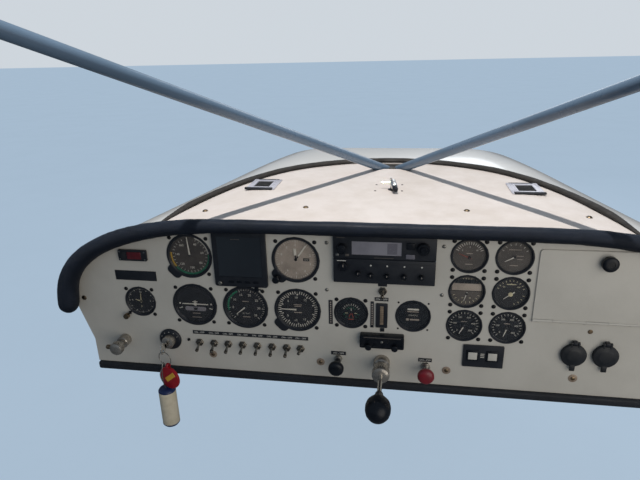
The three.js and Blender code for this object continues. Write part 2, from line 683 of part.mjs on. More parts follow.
// The ring hangs in the key's hole, turned a little about the upright. passZ is where its wire passes the
// hole, and its middle stands aside from there, drawn by the tag.
const RING = { radius: 13, wire: 0.8, turn: -0.3, aside: 3, passZ: -75.2 };
const ringAlong = new THREE.Vector3(Math.cos(RING.turn), Math.sin(RING.turn), 0);
const ringFace = new THREE.Vector3(Math.sin(RING.turn), -Math.cos(RING.turn), 0);
const ringDrop = Math.sqrt(RING.radius ** 2 - RING.aside ** 2);
const ringMiddle = new THREE.Vector3(lockX, KEY.holeY, RING.passZ - ringDrop)
  .addScaledVector(ringAlong, RING.aside);

// A point on the ring at an angle from its lowest point, and the ring's radius there
function onRing(angle, radius = RING.radius) {
  return ringMiddle.clone()
    .addScaledVector(ringAlong, radius * Math.sin(angle))
    .add(new THREE.Vector3(0, 0, -radius * Math.cos(angle)));
}

// A wire bent to an oval loop in an upright plane. turn is that plane's heading from X.
function wireLoop(centre, across, up, wire, turn, sides, steps) {
  const loop = new THREE.TorusGeometry(1, wire, sides, steps);
  const position = loop.attributes.position;
  for (let k = 0; k < position.count; k += 1) {
    // The centre line is stretched to the oval, and the wire keeps its thickness.
    const point = new THREE.Vector3().fromBufferAttribute(position, k);
    const angle = Math.atan2(point.y, point.x);
    const out = Math.hypot(point.x, point.y) - 1;
    position.setXYZ(k, Math.cos(angle) * (across + out), -point.z, Math.sin(angle) * (up + out));
  }
  loop.rotateZ(turn);
  loop.translate(...centre.toArray());
  return toSolid(loop);
}

add('key_ring', FINISH.steel, toGeometry(
  wireLoop(ringMiddle, RING.radius, RING.radius, RING.wire, RING.turn, 6, 20)));

// Round tag, facing the pilot, on an ear with a bore along the ring
const TAG = {
  radius: 21, thick: 5, sides: 24, angle: 0.42, drop: 24.5,
  ear: 4.4, earBore: 2.5, earHalf: 2.5, earSides: 14,
};

function keyTag() {
  const hang = onRing(TAG.angle);
  const centre = hang.clone().add(new THREE.Vector3(0, 0, -TAG.drop));
  const half = ringFace.clone().multiplyScalar(TAG.thick / 2);
  const disc = rodAbout(centre, half, TAG.radius, TAG.sides);
  const ear = rodAbout(hang, ringAlong.clone().multiplyScalar(TAG.earHalf), TAG.ear, TAG.earSides);
  const bore = rodAbout(hang, ringAlong.clone().multiplyScalar(TAG.ear * 2), TAG.earBore, TAG.earSides);
  return cut(disc.add(ear), bore);
}

add('key_tag', FINISH.redPlastic, toGeometry(keyTag()));

// Float with rounded caps, on a wire bail that hooks over the ring
const FLOAT = { length: 78, angle: -0.5, ringRoom: 0.35 };
const BAIL = { across: 6, up: 26.7, wire: 0.8, sunk: 4, sides: 6, steps: 16 };

// radius and distance from the end, for both rounded ends of the float
const FLOAT_CAP = [
  [0, 0],
  [8, 0.6],
  [13, 3],
  [15, 7],
];

function keyFloat() {
  const hang = onRing(FLOAT.angle, RING.radius - RING.wire - BAIL.wire - FLOAT.ringRoom);
  const middle = hang.clone().add(new THREE.Vector3(0, 0, -BAIL.up));
  const bail = wireLoop(
    middle, BAIL.across, BAIL.up, BAIL.wire, RING.turn + Math.PI / 2, BAIL.sides, BAIL.steps);
  const topZ = hang.z - BAIL.up * 2 + BAIL.sunk;
  const top = FLOAT_CAP.map(([radius, down]) => new THREE.Vector2(radius, -down));
  const bottom = FLOAT_CAP.map(([radius, down]) => new THREE.Vector2(radius, down - FLOAT.length));
  const profile = [...bottom, ...top.reverse()];
  const drum = new THREE.LatheGeometry(profile, CONTROL_SIDES);
  drum.rotateX(Math.PI / 2);
  drum.translate(hang.x, hang.y, topZ);
  return toSolid(drum).add(bail);
}

add('key_float', FINISH.foam, toGeometry(keyFloat()));

// Power sockets and their hinged lids

function socket(x, z) {
  const hinge = z + LID.axisUp;
  const body = turned([
    [0, SOCKET.boreEnd], [SOCKET.bore, SOCKET.boreEnd], [SOCKET.bore, SOCKET.front],
    [SOCKET.flange - 0.6, SOCKET.front], [SOCKET.flange, SOCKET.front + 0.6], [SOCKET.flange, -GAP],
    [SOCKET.barrel, -GAP], [SOCKET.barrel, SOCKET.end], [0, SOCKET.end],
  ], SOCKET.sides, x, z);
  const spanX = [x - SOCKET_HINGE.halfX, x + SOCKET_HINGE.halfX];
  const top = hinge + SOCKET_HINGE.headUp;
  const lower = block(spanX, [SOCKET.front, -GAP], [z + SOCKET_HINGE.footUp, top]);
  const head = [SOCKET_HINGE.headFront, SOCKET.front + 1];
  const upper = block(spanX, head, [hinge - SOCKET_HINGE.headDown, top]);
  const bore = rodX(LID.pin + GAP, [x - LID.pinHalf, x + LID.pinHalf], 12, LID.axisY, hinge);
  return cut(join(body, lower, upper), bore);
}

function socketLid(x, z) {
  const hinge = z + LID.axisUp;
  const disc = rodY(LID.radius, LID.y, 24, x, z);
  const tab = block([x - LID.tabHalf, x + LID.tabHalf], LID.y, [z + LID.tabEnd, z - LID.radius + 3]);
  const notch = block([x - LID.notchHalf, x + LID.notchHalf], [LID.y[0] - 1, LID.y[1] + 1],
    [z + LID.radius - LID.notchIn, hinge + LID.radius]);
  const ears = [-1, 1].flatMap((side) => {
    const span = LID.earX.map((out) => x + side * out).sort((a, b) => a - b);
    return [
      rodX(LID.ear, span, 14, LID.axisY, hinge),
      block(span, LID.y, [z + LID.earFoot, hinge]),
    ];
  });
  const pin = rodX(LID.pin, [x - LID.pinHalf, x + LID.pinHalf], 12, LID.axisY, hinge);
  return join(cut(join(disc, tab), notch), ...ears, pin);
}

for (const [side, x, z] of SOCKETS) {
  add(`power_socket_${side}`, FINISH.blackPlastic, toGeometry(socket(x, z)));
  add(`socket_lid_${side}`, FINISH.blackPlastic, toGeometry(socketLid(x, z)));
}

// Glovebox: bin behind the panel, door in front of it on a piano hinge, and the door's knob

function doorOutline() {
  const [x0, x1] = DOOR.x;
  const [z0, z1] = DOOR.z;
  const shape = new THREE.Shape();
  shape.moveTo(x0, z0);
  shape.lineTo(x1, z0);
  shape.lineTo(x1, z1 - DOOR.farCorner);
  shape.absarc(x1 - DOOR.farCorner, z1 - DOOR.farCorner, DOOR.farCorner, 0, Math.PI / 2, false);
  shape.lineTo(x0 + DOOR.corner, z1);
  shape.absarc(x0 + DOOR.corner, z1 - DOOR.corner, DOOR.corner, Math.PI / 2, Math.PI, false);
  shape.closePath();
  shape.holes.push(holePath(DOOR_KNOB.x, DOOR_KNOB.z, DOOR_KNOB.shaft + GAP, CONTROL_SIDES));
  return shape;
}

const doorKnuckles = knuckles(knuckleSpans().filter((span, k) => k % 2 === 1), 1);
add('glovebox_door', FINISH.panelPaint, toGeometry(plateXZ(doorOutline(), DOOR.y, 6).add(doorKnuckles)));

add('glovebox_hinge_pin', FINISH.steel, toGeometry(
  rodX(HINGE.pin, [DOOR.x[0] + 1, DOOR.x[1] - 1.5], 10, HINGE.y, HINGE.z)));

add('glovebox_knob', FINISH.blackPlastic, toGeometry(turned([
  [0, DOOR_KNOB.front], [DOOR_KNOB.radius - 2, DOOR_KNOB.front], [DOOR_KNOB.radius, DOOR_KNOB.front + 2],
  [DOOR_KNOB.radius, DOOR_KNOB.heel], [DOOR_KNOB.radius - 3, DOOR.y[0] - GAP],
  [DOOR_KNOB.shaft, DOOR.y[0] - GAP],
  [DOOR_KNOB.shaft, DOOR.y[1] + GAP], [DOOR_KNOB.shaft + 1.5, DOOR.y[1] + GAP],
  [DOOR_KNOB.shaft + 1.5, DOOR_KNOB.back], [0, DOOR_KNOB.back],
], CONTROL_SIDES, DOOR_KNOB.x, DOOR_KNOB.z)));

function gloveboxBin() {
  const front = PANEL.thick + GAP;
  const grow = ([low, high], by) => [low - by, high + by];
  const outer = block(grow(BIN.x, BIN.wall), [front, BIN.end + BIN.wall], grow(BIN.z, BIN.wall));
  return cut(outer, block(BIN.x, [front - 1, BIN.end], BIN.z));
}

add('glovebox_bin', FINISH.aluminium, toGeometry(gloveboxBin()));

// Roof shell, cut along the windscreen line into the deck inside and the boot cowl outside

function roofShell() {
  const rings = ROOF_STATIONS.map((y) => {
    const outer = archPoints(roofHalfWidth(y), roofHeight(y));
    const inner = archPoints(roofHalfWidth(y) - SHELL.thick, roofHeight(y) - SHELL.thick).reverse();
    return [...outer, ...inner].map(([x, z]) => new THREE.Vector3(x, y, z));
  });
  return loft(rings, (point) => new THREE.Vector2(point.x, point.z));
}

// An upright drum with the half-ellipse plan of the windscreen line
function windscreenDrum(halfWidth, length) {
  const drum = new THREE.CylinderGeometry(1, 1, 300, 64);
  drum.rotateX(Math.PI / 2);
  drum.scale(halfWidth, length, 1);
  return toSolid(drum);
}

// A point on a brace tube's line. side is -1 for the left tube and 1 for the right.
function onTube(side, distance) {
  return TUBE.apex.map((value, k) => value + distance * TUBE.slope[k] * (k === 0 ? side : 1));
}

// The room that a tube needs where it passes the deck
function tubeClearance(side) {
  return rodBetween(TUBE.radius + TUBE.clearance, TUBE.apex, onTube(side, TUBE.clearanceLength), TUBE.sides);
}

const VENTS = [['left', -252], ['right', 252]];
const VENT = {
  y: 244, halfX: 29, halfY: 39, frame: [0.4, 2.4], rim: 7, slots: 5, slotHalf: 21, slotShare: 0.3,
  neckX: 24, neckY: 34, neckBottom: 126,
};
const THROUGH_DECK = [100, 200];

function deck() {
  const notch = block([-NOTCH.halfWidth, NOTCH.halfWidth], [NOTCH.from, NOTCH.to], THROUGH_DECK);
  const room = 0.5;
  const vents = VENTS.map(([, x]) => block(
    [x - VENT.neckX - room, x + VENT.neckX + room], [VENT.y - VENT.neckY - room, VENT.y + VENT.neckY + room],
    THROUGH_DECK));
  const inside = roofShell().intersect(windscreenDrum(DECK.halfWidth, DECK.length));
  return cut(inside, notch, tubeClearance(-1), tubeClearance(1), ...vents);
}

const COWL_GAP = 1.2;
add('deck', FINISH.deckPaint, toGeometry(deck()));
add('boot_cowl', FINISH.cowlPaint, toGeometry(
  cut(roofShell(), windscreenDrum(DECK.halfWidth + COWL_GAP, DECK.length + COWL_GAP))));

// Windscreen seal over the joint between deck and cowl

function windscreenSeal() {
  const half = SEAL.width / 2;
  const profile = [[-half, 0], [-half, SEAL.shoulder], [-half + SEAL.chamfer, SEAL.height],
    [half - SEAL.chamfer, SEAL.height], [half, SEAL.shoulder], [half, 0]];
  const rings = [];
  for (let k = 0; k <= SEAL.steps; k += 1) {
    const angle = (k / SEAL.steps) * Math.PI;
    const centre = new THREE.Vector2(SEAL.halfWidth * Math.cos(angle), SEAL.length * Math.sin(angle));
    const out = new THREE.Vector2(Math.cos(angle) / SEAL.halfWidth, Math.sin(angle) / SEAL.length);
    out.normalize();
    rings.push(profile.map(([across, up]) => {
      const x = centre.x + out.x * across;
      const y = centre.y + out.y * across + SHELL.start + GAP;
      return new THREE.Vector3(x, y, roofZ(x, y) + SEAL.lift + up);
    }));
  }
  return loft(rings, (point) => new THREE.Vector2(point.x, point.z));
}

add('windscreen_seal', FINISH.seal, toGeometry(windscreenSeal()));

// V-brace: two tubes from the foot up and back to the front spar fittings

function braceTube(side) {
  const rod = rodBetween(TUBE.radius, onTube(side, TUBE.start), onTube(side, TUBE.length), TUBE.sides);
  const end = onTube(side, TUBE.length + TUBE_LUG.reach);
  const lug = new THREE.BoxGeometry(TUBE_LUG.thick, TUBE_LUG.long, TUBE_LUG.wide);
  const tilt = Math.atan2(TUBE.slope[2], TUBE.slope[1]);
  lug.rotateX(tilt);
  lug.translate(...end);
  const [boltX, boltY, boltZ] = onTube(side, TUBE.length + TUBE_LUG.reach + TUBE_LUG.holeReach);
  const through = [boltX - TUBE_LUG.wide, boltX + TUBE_LUG.wide];
  const hole = rodX(TUBE_LUG.hole, through, CONTROL_SIDES, boltY, boltZ);
  return cut(rod.add(toSolid(lug)), hole);
}

add('brace_tube_left', FINISH.tubePaint, toGeometry(braceTube(-1)));
add('brace_tube_right', FINISH.tubePaint, toGeometry(braceTube(1)));

// Foot of the brace: a block with two sockets and a flat pad, on the front cross tube

function braceFoot() {
  const across = [-FOOT.halfWidth, FOOT.halfWidth];
  const blockPart = block(across, [FOOT.back, FOOT.front], [FOOT.bottom, FOOT.top]);
  const pad = block([-FOOT.padHalf, FOOT.padHalf], [FOOT.front - FOOT.padThick, FOOT.front],
    [FOOT.bottom, FOOT.top]);
  const sockets = [-1, 1].map((side) => rodBetween(
    TUBE.radius + GAP, onTube(side, TUBE.start - GAP), onTube(side, TUBE.clearanceLength), TUBE.sides));
  return cut(blockPart.add(pad), ...sockets);
}

add('brace_foot', FINISH.steel, toGeometry(braceFoot()));

function crossTube() {
  const z = FOOT.bottom - GAP - CROSS.radius;
  const end = CROSS.halfLength;
  const padStart = end - CROSS.padThick;
  const tube = rodX(CROSS.radius, [-end, end], TUBE.sides, CROSS.y, z);
  const pads = [[-end, -padStart], [padStart, end]]
    .map((span) => rodX(CROSS.padRadius, span, TUBE.sides, CROSS.y, z));
  return join(tube, ...pads);
}

add('cross_tube', FINISH.tubePaint, toGeometry(crossTube()));

// Air vents let into the deck

function deckVent(x) {
  // The frame sits on the higher, inner side of the sloping deck.
  const top = roofZ(Math.abs(x) - VENT.halfX, VENT.y);
  const frame = block([x - VENT.halfX, x + VENT.halfX], [VENT.y - VENT.halfY, VENT.y + VENT.halfY],
    VENT.frame.map((up) => top + up));
  const neck = block([x - VENT.neckX, x + VENT.neckX], [VENT.y - VENT.neckY, VENT.y + VENT.neckY],
    [VENT.neckBottom, top + 1]);
  const opening = VENT.halfY - VENT.rim;
  const pitch = opening * 2 / VENT.slots;
  const slots = Array.from({ length: VENT.slots }, (unused, k) => {
    const y = VENT.y - opening + pitch * (k + 0.5);
    const half = pitch * VENT.slotShare;
    return block([x - VENT.slotHalf, x + VENT.slotHalf], [y - half, y + half], THROUGH_DECK);
  });
  return cut(frame.add(neck), ...slots);
}

for (const [side, x] of VENTS) add(`deck_vent_${side}`, FINISH.blackPlastic, toGeometry(deckVent(x)));

// Ball mount on the deck
const BALL = { x: 6, y: 223, foot: 11, footThick: 2.5, stem: 3.5, stemFrom: 4, ball: 6, height: 30 };

function ballMount() {
  const base = roofZ(BALL.x, BALL.y) + GAP;
  const profile = [
    [0, 0], [BALL.foot, 0], [BALL.foot, BALL.footThick], [BALL.stem, BALL.stemFrom],
    [BALL.stem, BALL.height - BALL.ball * 1.8],
    [BALL.ball * 0.8, BALL.height - BALL.ball * 1.6], [BALL.ball, BALL.height - BALL.ball],
    [BALL.ball * 0.8, BALL.height - BALL.ball * 0.4], [0, BALL.height],
  ].map(([radius, up]) => new THREE.Vector2(radius, up));
  const lathe = new THREE.LatheGeometry(profile, 16);
  lathe.rotateX(Math.PI / 2);
  lathe.translate(BALL.x, BALL.y, base);
  return toSolid(lathe);
}

add('ball_mount', FINISH.steel, toGeometry(ballMount()));

// Origin at the middle of the brace foot's pad, which faces forward
assembly.position.set(0, -FOOT.front, -(FOOT.bottom + FOOT.top) / 2);
const group = new THREE.Group();
group.add(assembly);

export default group;
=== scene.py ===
# %% [markdown]
# # The cockpit front of a small floatplane
# This notebook dresses the front end of a light two-seat floatplane's cockpit: the instrument panel
# with its padded roll, the deck in front of it, the windscreen seal, the white cowl top and the two
# brace tubes. The solids come from a finished frame that says where everything is. Each cell makes one
# thing with the tools a modeller uses by hand: primitives, edit mode, extrude, bevel and spin.

# %% Load the frame
import json
import math

import bpy
from mathutils import Matrix, Vector

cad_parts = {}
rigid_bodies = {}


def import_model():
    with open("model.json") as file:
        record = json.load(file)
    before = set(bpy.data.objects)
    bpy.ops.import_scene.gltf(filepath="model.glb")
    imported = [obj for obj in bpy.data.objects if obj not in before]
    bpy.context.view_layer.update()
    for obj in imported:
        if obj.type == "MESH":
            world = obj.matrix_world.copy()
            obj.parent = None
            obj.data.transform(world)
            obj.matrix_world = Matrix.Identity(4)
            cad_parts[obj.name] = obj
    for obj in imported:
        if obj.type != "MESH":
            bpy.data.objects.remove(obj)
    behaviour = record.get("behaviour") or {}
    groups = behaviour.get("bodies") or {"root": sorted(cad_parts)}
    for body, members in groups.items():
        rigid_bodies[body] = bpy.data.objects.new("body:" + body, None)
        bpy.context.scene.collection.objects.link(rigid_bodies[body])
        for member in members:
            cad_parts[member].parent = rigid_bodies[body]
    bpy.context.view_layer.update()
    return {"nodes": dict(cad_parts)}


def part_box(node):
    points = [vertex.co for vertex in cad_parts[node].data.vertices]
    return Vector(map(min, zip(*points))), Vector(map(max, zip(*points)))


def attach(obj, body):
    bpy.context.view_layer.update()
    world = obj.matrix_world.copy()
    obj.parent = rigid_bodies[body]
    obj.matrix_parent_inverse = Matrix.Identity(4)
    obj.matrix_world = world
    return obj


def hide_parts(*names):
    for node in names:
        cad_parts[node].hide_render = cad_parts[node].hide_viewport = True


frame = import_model()
nodes = frame["nodes"]
print(len(nodes), "solids loaded")

# %% [markdown]
# ## Where things are
# The panel's front face is the drawing board: nearly all sizes here are millimetres to the right,
# forward and up from its middle, at the height of the lower instrument row. The tachometer hangs in
# that row and its bezel stands 1.6 mm proud of the face, so its box gives the zero of all three.

# %% Panel coordinates
MM = 0.001
BEZEL_PROUD = 1.6
FACE_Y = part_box("tachometer")[0].y + BEZEL_PROUD * MM
ROW_Z = sum(corner.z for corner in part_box("tachometer")) / 2
AXIS_X, AXIS_Y, AXIS_Z = Vector((1, 0, 0)), Vector((0, 1, 0)), Vector((0, 0, 1))


def spot(x, y, z):
    """The point that lies x to the right, y forward and z up of the panel's middle, in millimetres."""
    return Vector((x * MM, FACE_Y + y * MM, ROW_Z + z * MM))


ZERO = spot(0, 0, 0)

# %% [markdown]
# ## The camera
# The picture was taken from between the seats, a little right of the centre line, looking slightly
# left and down. The place and the turn were solved from the instrument screws, whose spacing is a
# standard. The turns are heading, pitch and roll, and the last one points the lens forward.

# %% Camera
CAMERA_AT = (25.2, -760.6, 408.7)
CAMERA_TURNS = (("Z", 9.3656), ("X", -20.1664), ("Y", 1.3913), ("X", 90))
FOCAL_IN_PIXELS, PHOTO_WIDTH = 524.14, 640
SENSOR_WIDTH = 36.0


def make_camera():
    lens = bpy.data.cameras.new("pilot_view")
    lens.sensor_width = SENSOR_WIDTH
    lens.lens = FOCAL_IN_PIXELS / PHOTO_WIDTH * SENSOR_WIDTH
    lens.clip_start = 0.02
    camera = bpy.data.objects.new("pilot_view", lens)
    bpy.context.scene.collection.objects.link(camera)
    turn = Matrix.Identity(3)
    for axis, degrees in CAMERA_TURNS:
        turn = turn @ Matrix.Rotation(math.radians(degrees), 3, axis)
    camera.matrix_world = Matrix.Translation(spot(*CAMERA_AT)) @ turn.to_4x4()
    bpy.context.scene.camera = camera


make_camera()

# %% [markdown]
# ## Hands
# A few moves come back all the time: start from one vertex, draw a half section by extruding it, and
# spin that round a line; add a cube, size it in edit mode and bevel its edges; spin a bar round a dial
# as separate copies. They are written once here. A new primitive is selected all over, so each helper
# first clears the selection, and edit mode only ever sees the one new mesh.


# %% Helpers for selecting and joining
def deselect_all():
    bpy.ops.object.select_all(action="DESELECT")


def only(obj):
    """Selects obj alone and makes it the active object."""
    deselect_all()
    obj.select_set(True)
    bpy.context.view_layer.objects.active = obj
    return obj


def edit_chosen(kind="VERT"):
    """Edit mode with what was selected in code. kind says whether vertices, edges or faces count."""
    bpy.context.scene.tool_settings.mesh_select_mode = [kind == name for name in ("VERT", "EDGE", "FACE")]
    bpy.ops.object.mode_set(mode="EDIT")


def edit_all():
    edit_chosen()
    bpy.ops.mesh.select_all(action="SELECT")


def leave_edit():
    bpy.ops.object.mode_set(mode="OBJECT")
    return bpy.context.object


def join(parts):
    """One mesh of several, which keeps each part's own material."""
    only(parts[0])
    if len(parts) > 1:
        for part in parts:
            part.select_set(True)
        bpy.ops.object.join()
    return bpy.context.object


def painted(obj, material):
    obj.data.materials.clear()
    obj.data.materials.append(material)
    return obj


def baked(obj):
    """Puts the place, turn and size of obj into its mesh."""
    only(obj)
    bpy.ops.object.transform_apply(location=True, rotation=True, scale=True)
    return obj


def turned_to(obj, place, degrees, axis):
    """Turns what was made at the zero spot about an axis there, and takes it to place."""
    turn = Matrix.Rotation(math.radians(degrees), 4, axis)
    obj.matrix_world = Matrix.Translation(place) @ turn @ Matrix.Translation(-ZERO) @ obj.matrix_world
    return baked(obj)


def apply_modifier(obj, kind, **settings):
    """Adds a modifier to obj, sets it and applies it."""
    only(obj)
    modifier = obj.modifiers.new("step", kind)
    for name, value in settings.items():
        setattr(modifier, name, value)
    bpy.ops.object.modifier_apply(modifier=modifier.name)
    return obj


def cut(obj, tool, operation="DIFFERENCE"):
    """Cuts obj with a tool body, and throws the tool away."""
    apply_modifier(obj, "BOOLEAN", operation=operation, object=tool, solver="EXACT")
    bpy.data.objects.remove(tool)
    return obj


def smooth(obj, degrees=32):
    """Smooth shading that stays crisp at edges sharper than this."""
    only(obj)
    bpy.ops.object.shade_smooth_by_angle(angle=math.radians(degrees))
    return obj


def settle(parts, name, node=None, body="root", degrees=32):
    """A finished piece: joined, smoothed, named, in the place of its solid and riding on its body."""
    obj = join(parts)
    if degrees:
        smooth(obj, degrees)
    baked(obj)
    obj.name = name
    obj.data.name = name
    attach(obj, body)
    if node:
        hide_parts(node)
    return obj


# %% Helpers for turned bodies, boxes and marks
def draw_line(points):
    """Extrudes a line from point to point, starting from a tiny plane merged at its centre."""
    deselect_all()
    bpy.ops.mesh.primitive_plane_add(size=MM)
    edit_all()
    bpy.ops.mesh.merge(type="CENTER")
    bpy.ops.transform.translate(value=points[0])
    for before, after in zip(points, points[1:]):
        bpy.ops.mesh.extrude_region_move(TRANSFORM_OT_translate={"value": after - before})
    bpy.ops.mesh.select_all(action="SELECT")


def turned(profile, at, material, axis=AXIS_Y, steps=32):
    """Spins a half section of (radius, along) pairs in millimetres round a line through at. The ends of
    the section are closed to the line, unless it ends where it starts."""
    centre = at if isinstance(at, Vector) else spot(*at)
    if profile[0] != profile[-1]:
        ends = [[(0, along)] if radius else [] for radius, along in (profile[0], profile[-1])]
        profile = ends[0] + list(profile) + ends[1]
    out = AXIS_X if abs(axis.x) < 0.5 else AXIS_Z
    out = (out - axis * out.dot(axis)).normalized()
    draw_line([centre + out * (radius * MM) + axis * (along * MM) for radius, along in profile])
    bpy.ops.mesh.spin(steps=steps, angle=math.tau, center=centre, axis=axis)
    bpy.ops.mesh.select_all(action="SELECT")
    bpy.ops.mesh.remove_doubles(threshold=1e-6)
    bpy.ops.mesh.normals_make_consistent(inside=False)
    return painted(leave_edit(), material)


def rod(radius, low, high, at, material, axis=AXIS_Y, steps=32):
    """A plain cylinder from low to high along its axis."""
    return turned([(radius, low), (radius, high)], at, material, axis, steps)


def sized_cube(low, high):
    """A cube between two corners in panel millimetres, sized in edit mode and left there."""
    corners = spot(*low), spot(*high)
    deselect_all()
    bpy.ops.mesh.primitive_cube_add(size=1, location=(corners[0] + corners[1]) / 2)
    edit_all()
    bpy.ops.transform.resize(value=corners[1] - corners[0])


def block(low, high, radius, material, segments=3):
    """A cube with all its edges bevelled."""
    sized_cube(low, high)
    if radius:
        bpy.ops.mesh.bevel(offset=radius * MM, segments=segments, affect="EDGES")
    return painted(baked(leave_edit()), material)


def plate(x, z, y, corner, edge, material):
    """A plate with rounded corners and softly broken edges, seen from the front."""
    sized_cube((x[0], y[0], z[0]), (x[1], y[1], z[1]))
    obj = leave_edit()
    points = obj.data.vertices
    choose(obj, "edges", [abs((points[a].co - points[b].co).y) > 1e-7 for a, b in obj.data.edge_keys])
    edit_chosen("EDGE")
    bpy.ops.mesh.bevel(offset=corner * MM, segments=5, affect="EDGES")
    leave_edit()
    choose(obj, "faces", [abs(face.normal.y) > 0.99 for face in obj.data.polygons])
    edit_chosen("FACE")
    bpy.ops.mesh.region_to_loop()
    bpy.ops.mesh.bevel(offset=edge * MM, segments=2, affect="EDGES")
    return painted(baked(leave_edit()), material)


def choose(obj, kind, wanted):
    """Selects the faces or edges of obj whose entry in wanted is true, and nothing else."""
    mesh = obj.data
    for group in (mesh.vertices, mesh.edges, mesh.polygons):
        group.foreach_set("select", [False] * len(group))
    chosen = mesh.polygons if kind == "faces" else mesh.edges
    chosen.foreach_set("select", wanted)
    touched = {k for part, take in zip(chosen, wanted) if take for k in part.vertices}
    mesh.vertices.foreach_set("select", [k in touched for k in range(len(mesh.vertices))])
    if kind == "faces":
        mesh.edges.foreach_set("select", [all(k in touched for k in edge.vertices) for edge in mesh.edges])


def repeat(obj, offsets):
    """obj and a copy at each offset, joined. Offsets are millimetres from where obj stands."""
    copies = []
    for offset in offsets:
        only(obj)
        bpy.ops.object.duplicate_move(TRANSFORM_OT_translate={"value": Vector(offset) * MM})
        copies.append(bpy.context.object)
    return join([obj] + copies)


print("helpers ready")

# %% [markdown]
# ## Effects that several finishes share
# Real surfaces are never one flat colour. Four small node groups carry what repeats: a slow drift
# between two tones, a fine relief for paint and plastic, the grain of vinyl, and the dust that lies on
# what faces up, which on the padded vinyl is also a painted sky reflection along the roll's top. Each has
# named inputs, is built once, and is placed in a material with its own values.
# They all read Object coordinates, so that a pattern keeps its real size on every piece.

# %% Node helpers
WHITE, GREY, BLACK = (1, 1, 1, 1), (0.5, 0.5, 0.5, 1), (0, 0, 0, 1)
OUTPUT_KINDS = {"Color": "Color", "Mask": "Float", "Normal": "Vector"}


def tint(code):
    """A web colour such as "d6d1c6" as the linear colour that a shader works in."""
    parts = [int(code[k:k + 2], 16) / 255 for k in (0, 2, 4)]
    return (*[c / 12.92 if c <= 0.04045 else ((c + 0.055) / 1.055) ** 2.4 for c in parts], 1.0)


def put(tree, socket, value):
    """Links a socket to another one, or sets its value."""
    if isinstance(value, bpy.types.NodeSocket):
        tree.links.new(value, socket)
    else:
        socket.default_value = value


def add_node(tree, kind, out=None, inputs=(), **given):
    """Adds a node. Names in small letters are its settings, the others and inputs its sockets."""
    node = tree.nodes.new("ShaderNode" + kind)
    for name, value in given.items():
        if name.islower():
            setattr(node, name, value)
        else:
            put(tree, node.inputs[name.replace("_", " ")], value)
    for place, value in dict(inputs).items():
        put(tree, node.inputs[place], value)
    return node.outputs if out is None else node.outputs[out]


def new_group(name, outputs, **inputs):
    tree = bpy.data.node_groups.new(name, "ShaderNodeTree")
    for label, value in inputs.items():
        kind = "NodeSocketColor" if isinstance(value, tuple) else "NodeSocketFloat"
        socket = tree.interface.new_socket(name=label.replace("_", " "), in_out="INPUT", socket_type=kind)
        socket.default_value = value
    for label in outputs:
        tree.interface.new_socket(name=label, in_out="OUTPUT", socket_type="NodeSocket" + OUTPUT_KINDS[label])
    return tree, tree.nodes.new("NodeGroupInput").outputs, tree.nodes.new("NodeGroupOutput").inputs


def noise(tree, scale, detail, roughness=0.5):
    place = add_node(tree, "TexCoord", "Object")
    return add_node(tree, "TexNoise", "Fac", Vector=place, Scale=scale, Detail=detail, Roughness=roughness)


def mixed(tree, factor, first, second):
    return add_node(tree, "Mix", 2, {6: first, 7: second}, data_type="RGBA", Factor=factor)


def combined(tree, operation, first, second):
    return add_node(tree, "Math", "Value", {0: first, 1: second}, operation=operation)


# %% Drift of tone, fine relief, vinyl grain, and dust with painted sheen
def make_drift():
    """Wanders between two colours. Mask is the same pattern as a number, for roughness."""
    tree, given, result = new_group("tone_drift", ("Color", "Mask"), Color=WHITE, Other_Color=GREY,
                                    Scale=20.0, Low=0.4, High=0.65)
    slow = noise(tree, given["Scale"], 6.0, 0.62)
    mask = add_node(tree, "MapRange", "Result", Value=slow, From_Min=given["Low"], From_Max=given["High"])
    put(tree, result["Color"], mixed(tree, mask, given["Color"], given["Other Color"]))
    put(tree, result["Mask"], mask)
    return tree


def make_relief():
    """The fine unevenness of sprayed paint or moulded plastic, as a normal."""
    tree, given, result = new_group("fine_relief", ("Normal",), Scale=300.0, Depth=0.0002)
    bumps = noise(tree, given["Scale"], 3.0)
    put(tree, result["Normal"], add_node(tree, "Bump", "Normal", Height=bumps, Distance=given["Depth"]))
    return tree


def make_grain():
    """Pebbled vinyl: small cells with soft hollows between them, over a slow unevenness."""
    tree, given, result = new_group("vinyl_grain", ("Normal", "Mask"), Scale=900.0, Depth=0.0002)
    place = add_node(tree, "TexCoord", "Object")
    cells = add_node(tree, "TexVoronoi", "Distance", feature="DISTANCE_TO_EDGE", Vector=place,
                     Scale=given["Scale"])
    hollow = add_node(tree, "MapRange", "Result", Value=cells, From_Max=0.12)
    slow = noise(tree, 60.0, 3.0)
    height = combined(tree, "ADD", hollow, slow)
    put(tree, result["Normal"], add_node(tree, "Bump", "Normal", Height=height, Distance=given["Depth"]))
    put(tree, result["Mask"], slow)
    return tree


def make_dust_and_sheen():
    """Lays a pale dust over a colour, thick on what faces up and in the hollows of a noise. On the
    padded vinyl the same layer is also a painted sky reflection along the roll's top.
    """
    tree, given, result = new_group("settled_dust", ("Color", "Mask"), Color=BLACK, Dust_Color=GREY,
                                    Amount=0.3)
    facing = add_node(tree, "SeparateXYZ", "Z", Vector=add_node(tree, "NewGeometry", "Normal"))
    upward = add_node(tree, "MapRange", "Result", Value=facing, From_Min=0.1, From_Max=0.95)
    cover = add_node(tree, "MapRange", "Result", Value=noise(tree, 55.0, 8.0, 0.7), From_Min=0.35,
                     From_Max=0.75)
    amount = combined(tree, "MULTIPLY", combined(tree, "MULTIPLY", upward, cover), given["Amount"])
    put(tree, result["Color"], mixed(tree, amount, given["Color"], given["Dust Color"]))
    put(tree, result["Mask"], amount)
    return tree


DRIFT, RELIEF, GRAIN, DUST_AND_SHEEN = make_drift(), make_relief(), make_grain(), make_dust_and_sheen()
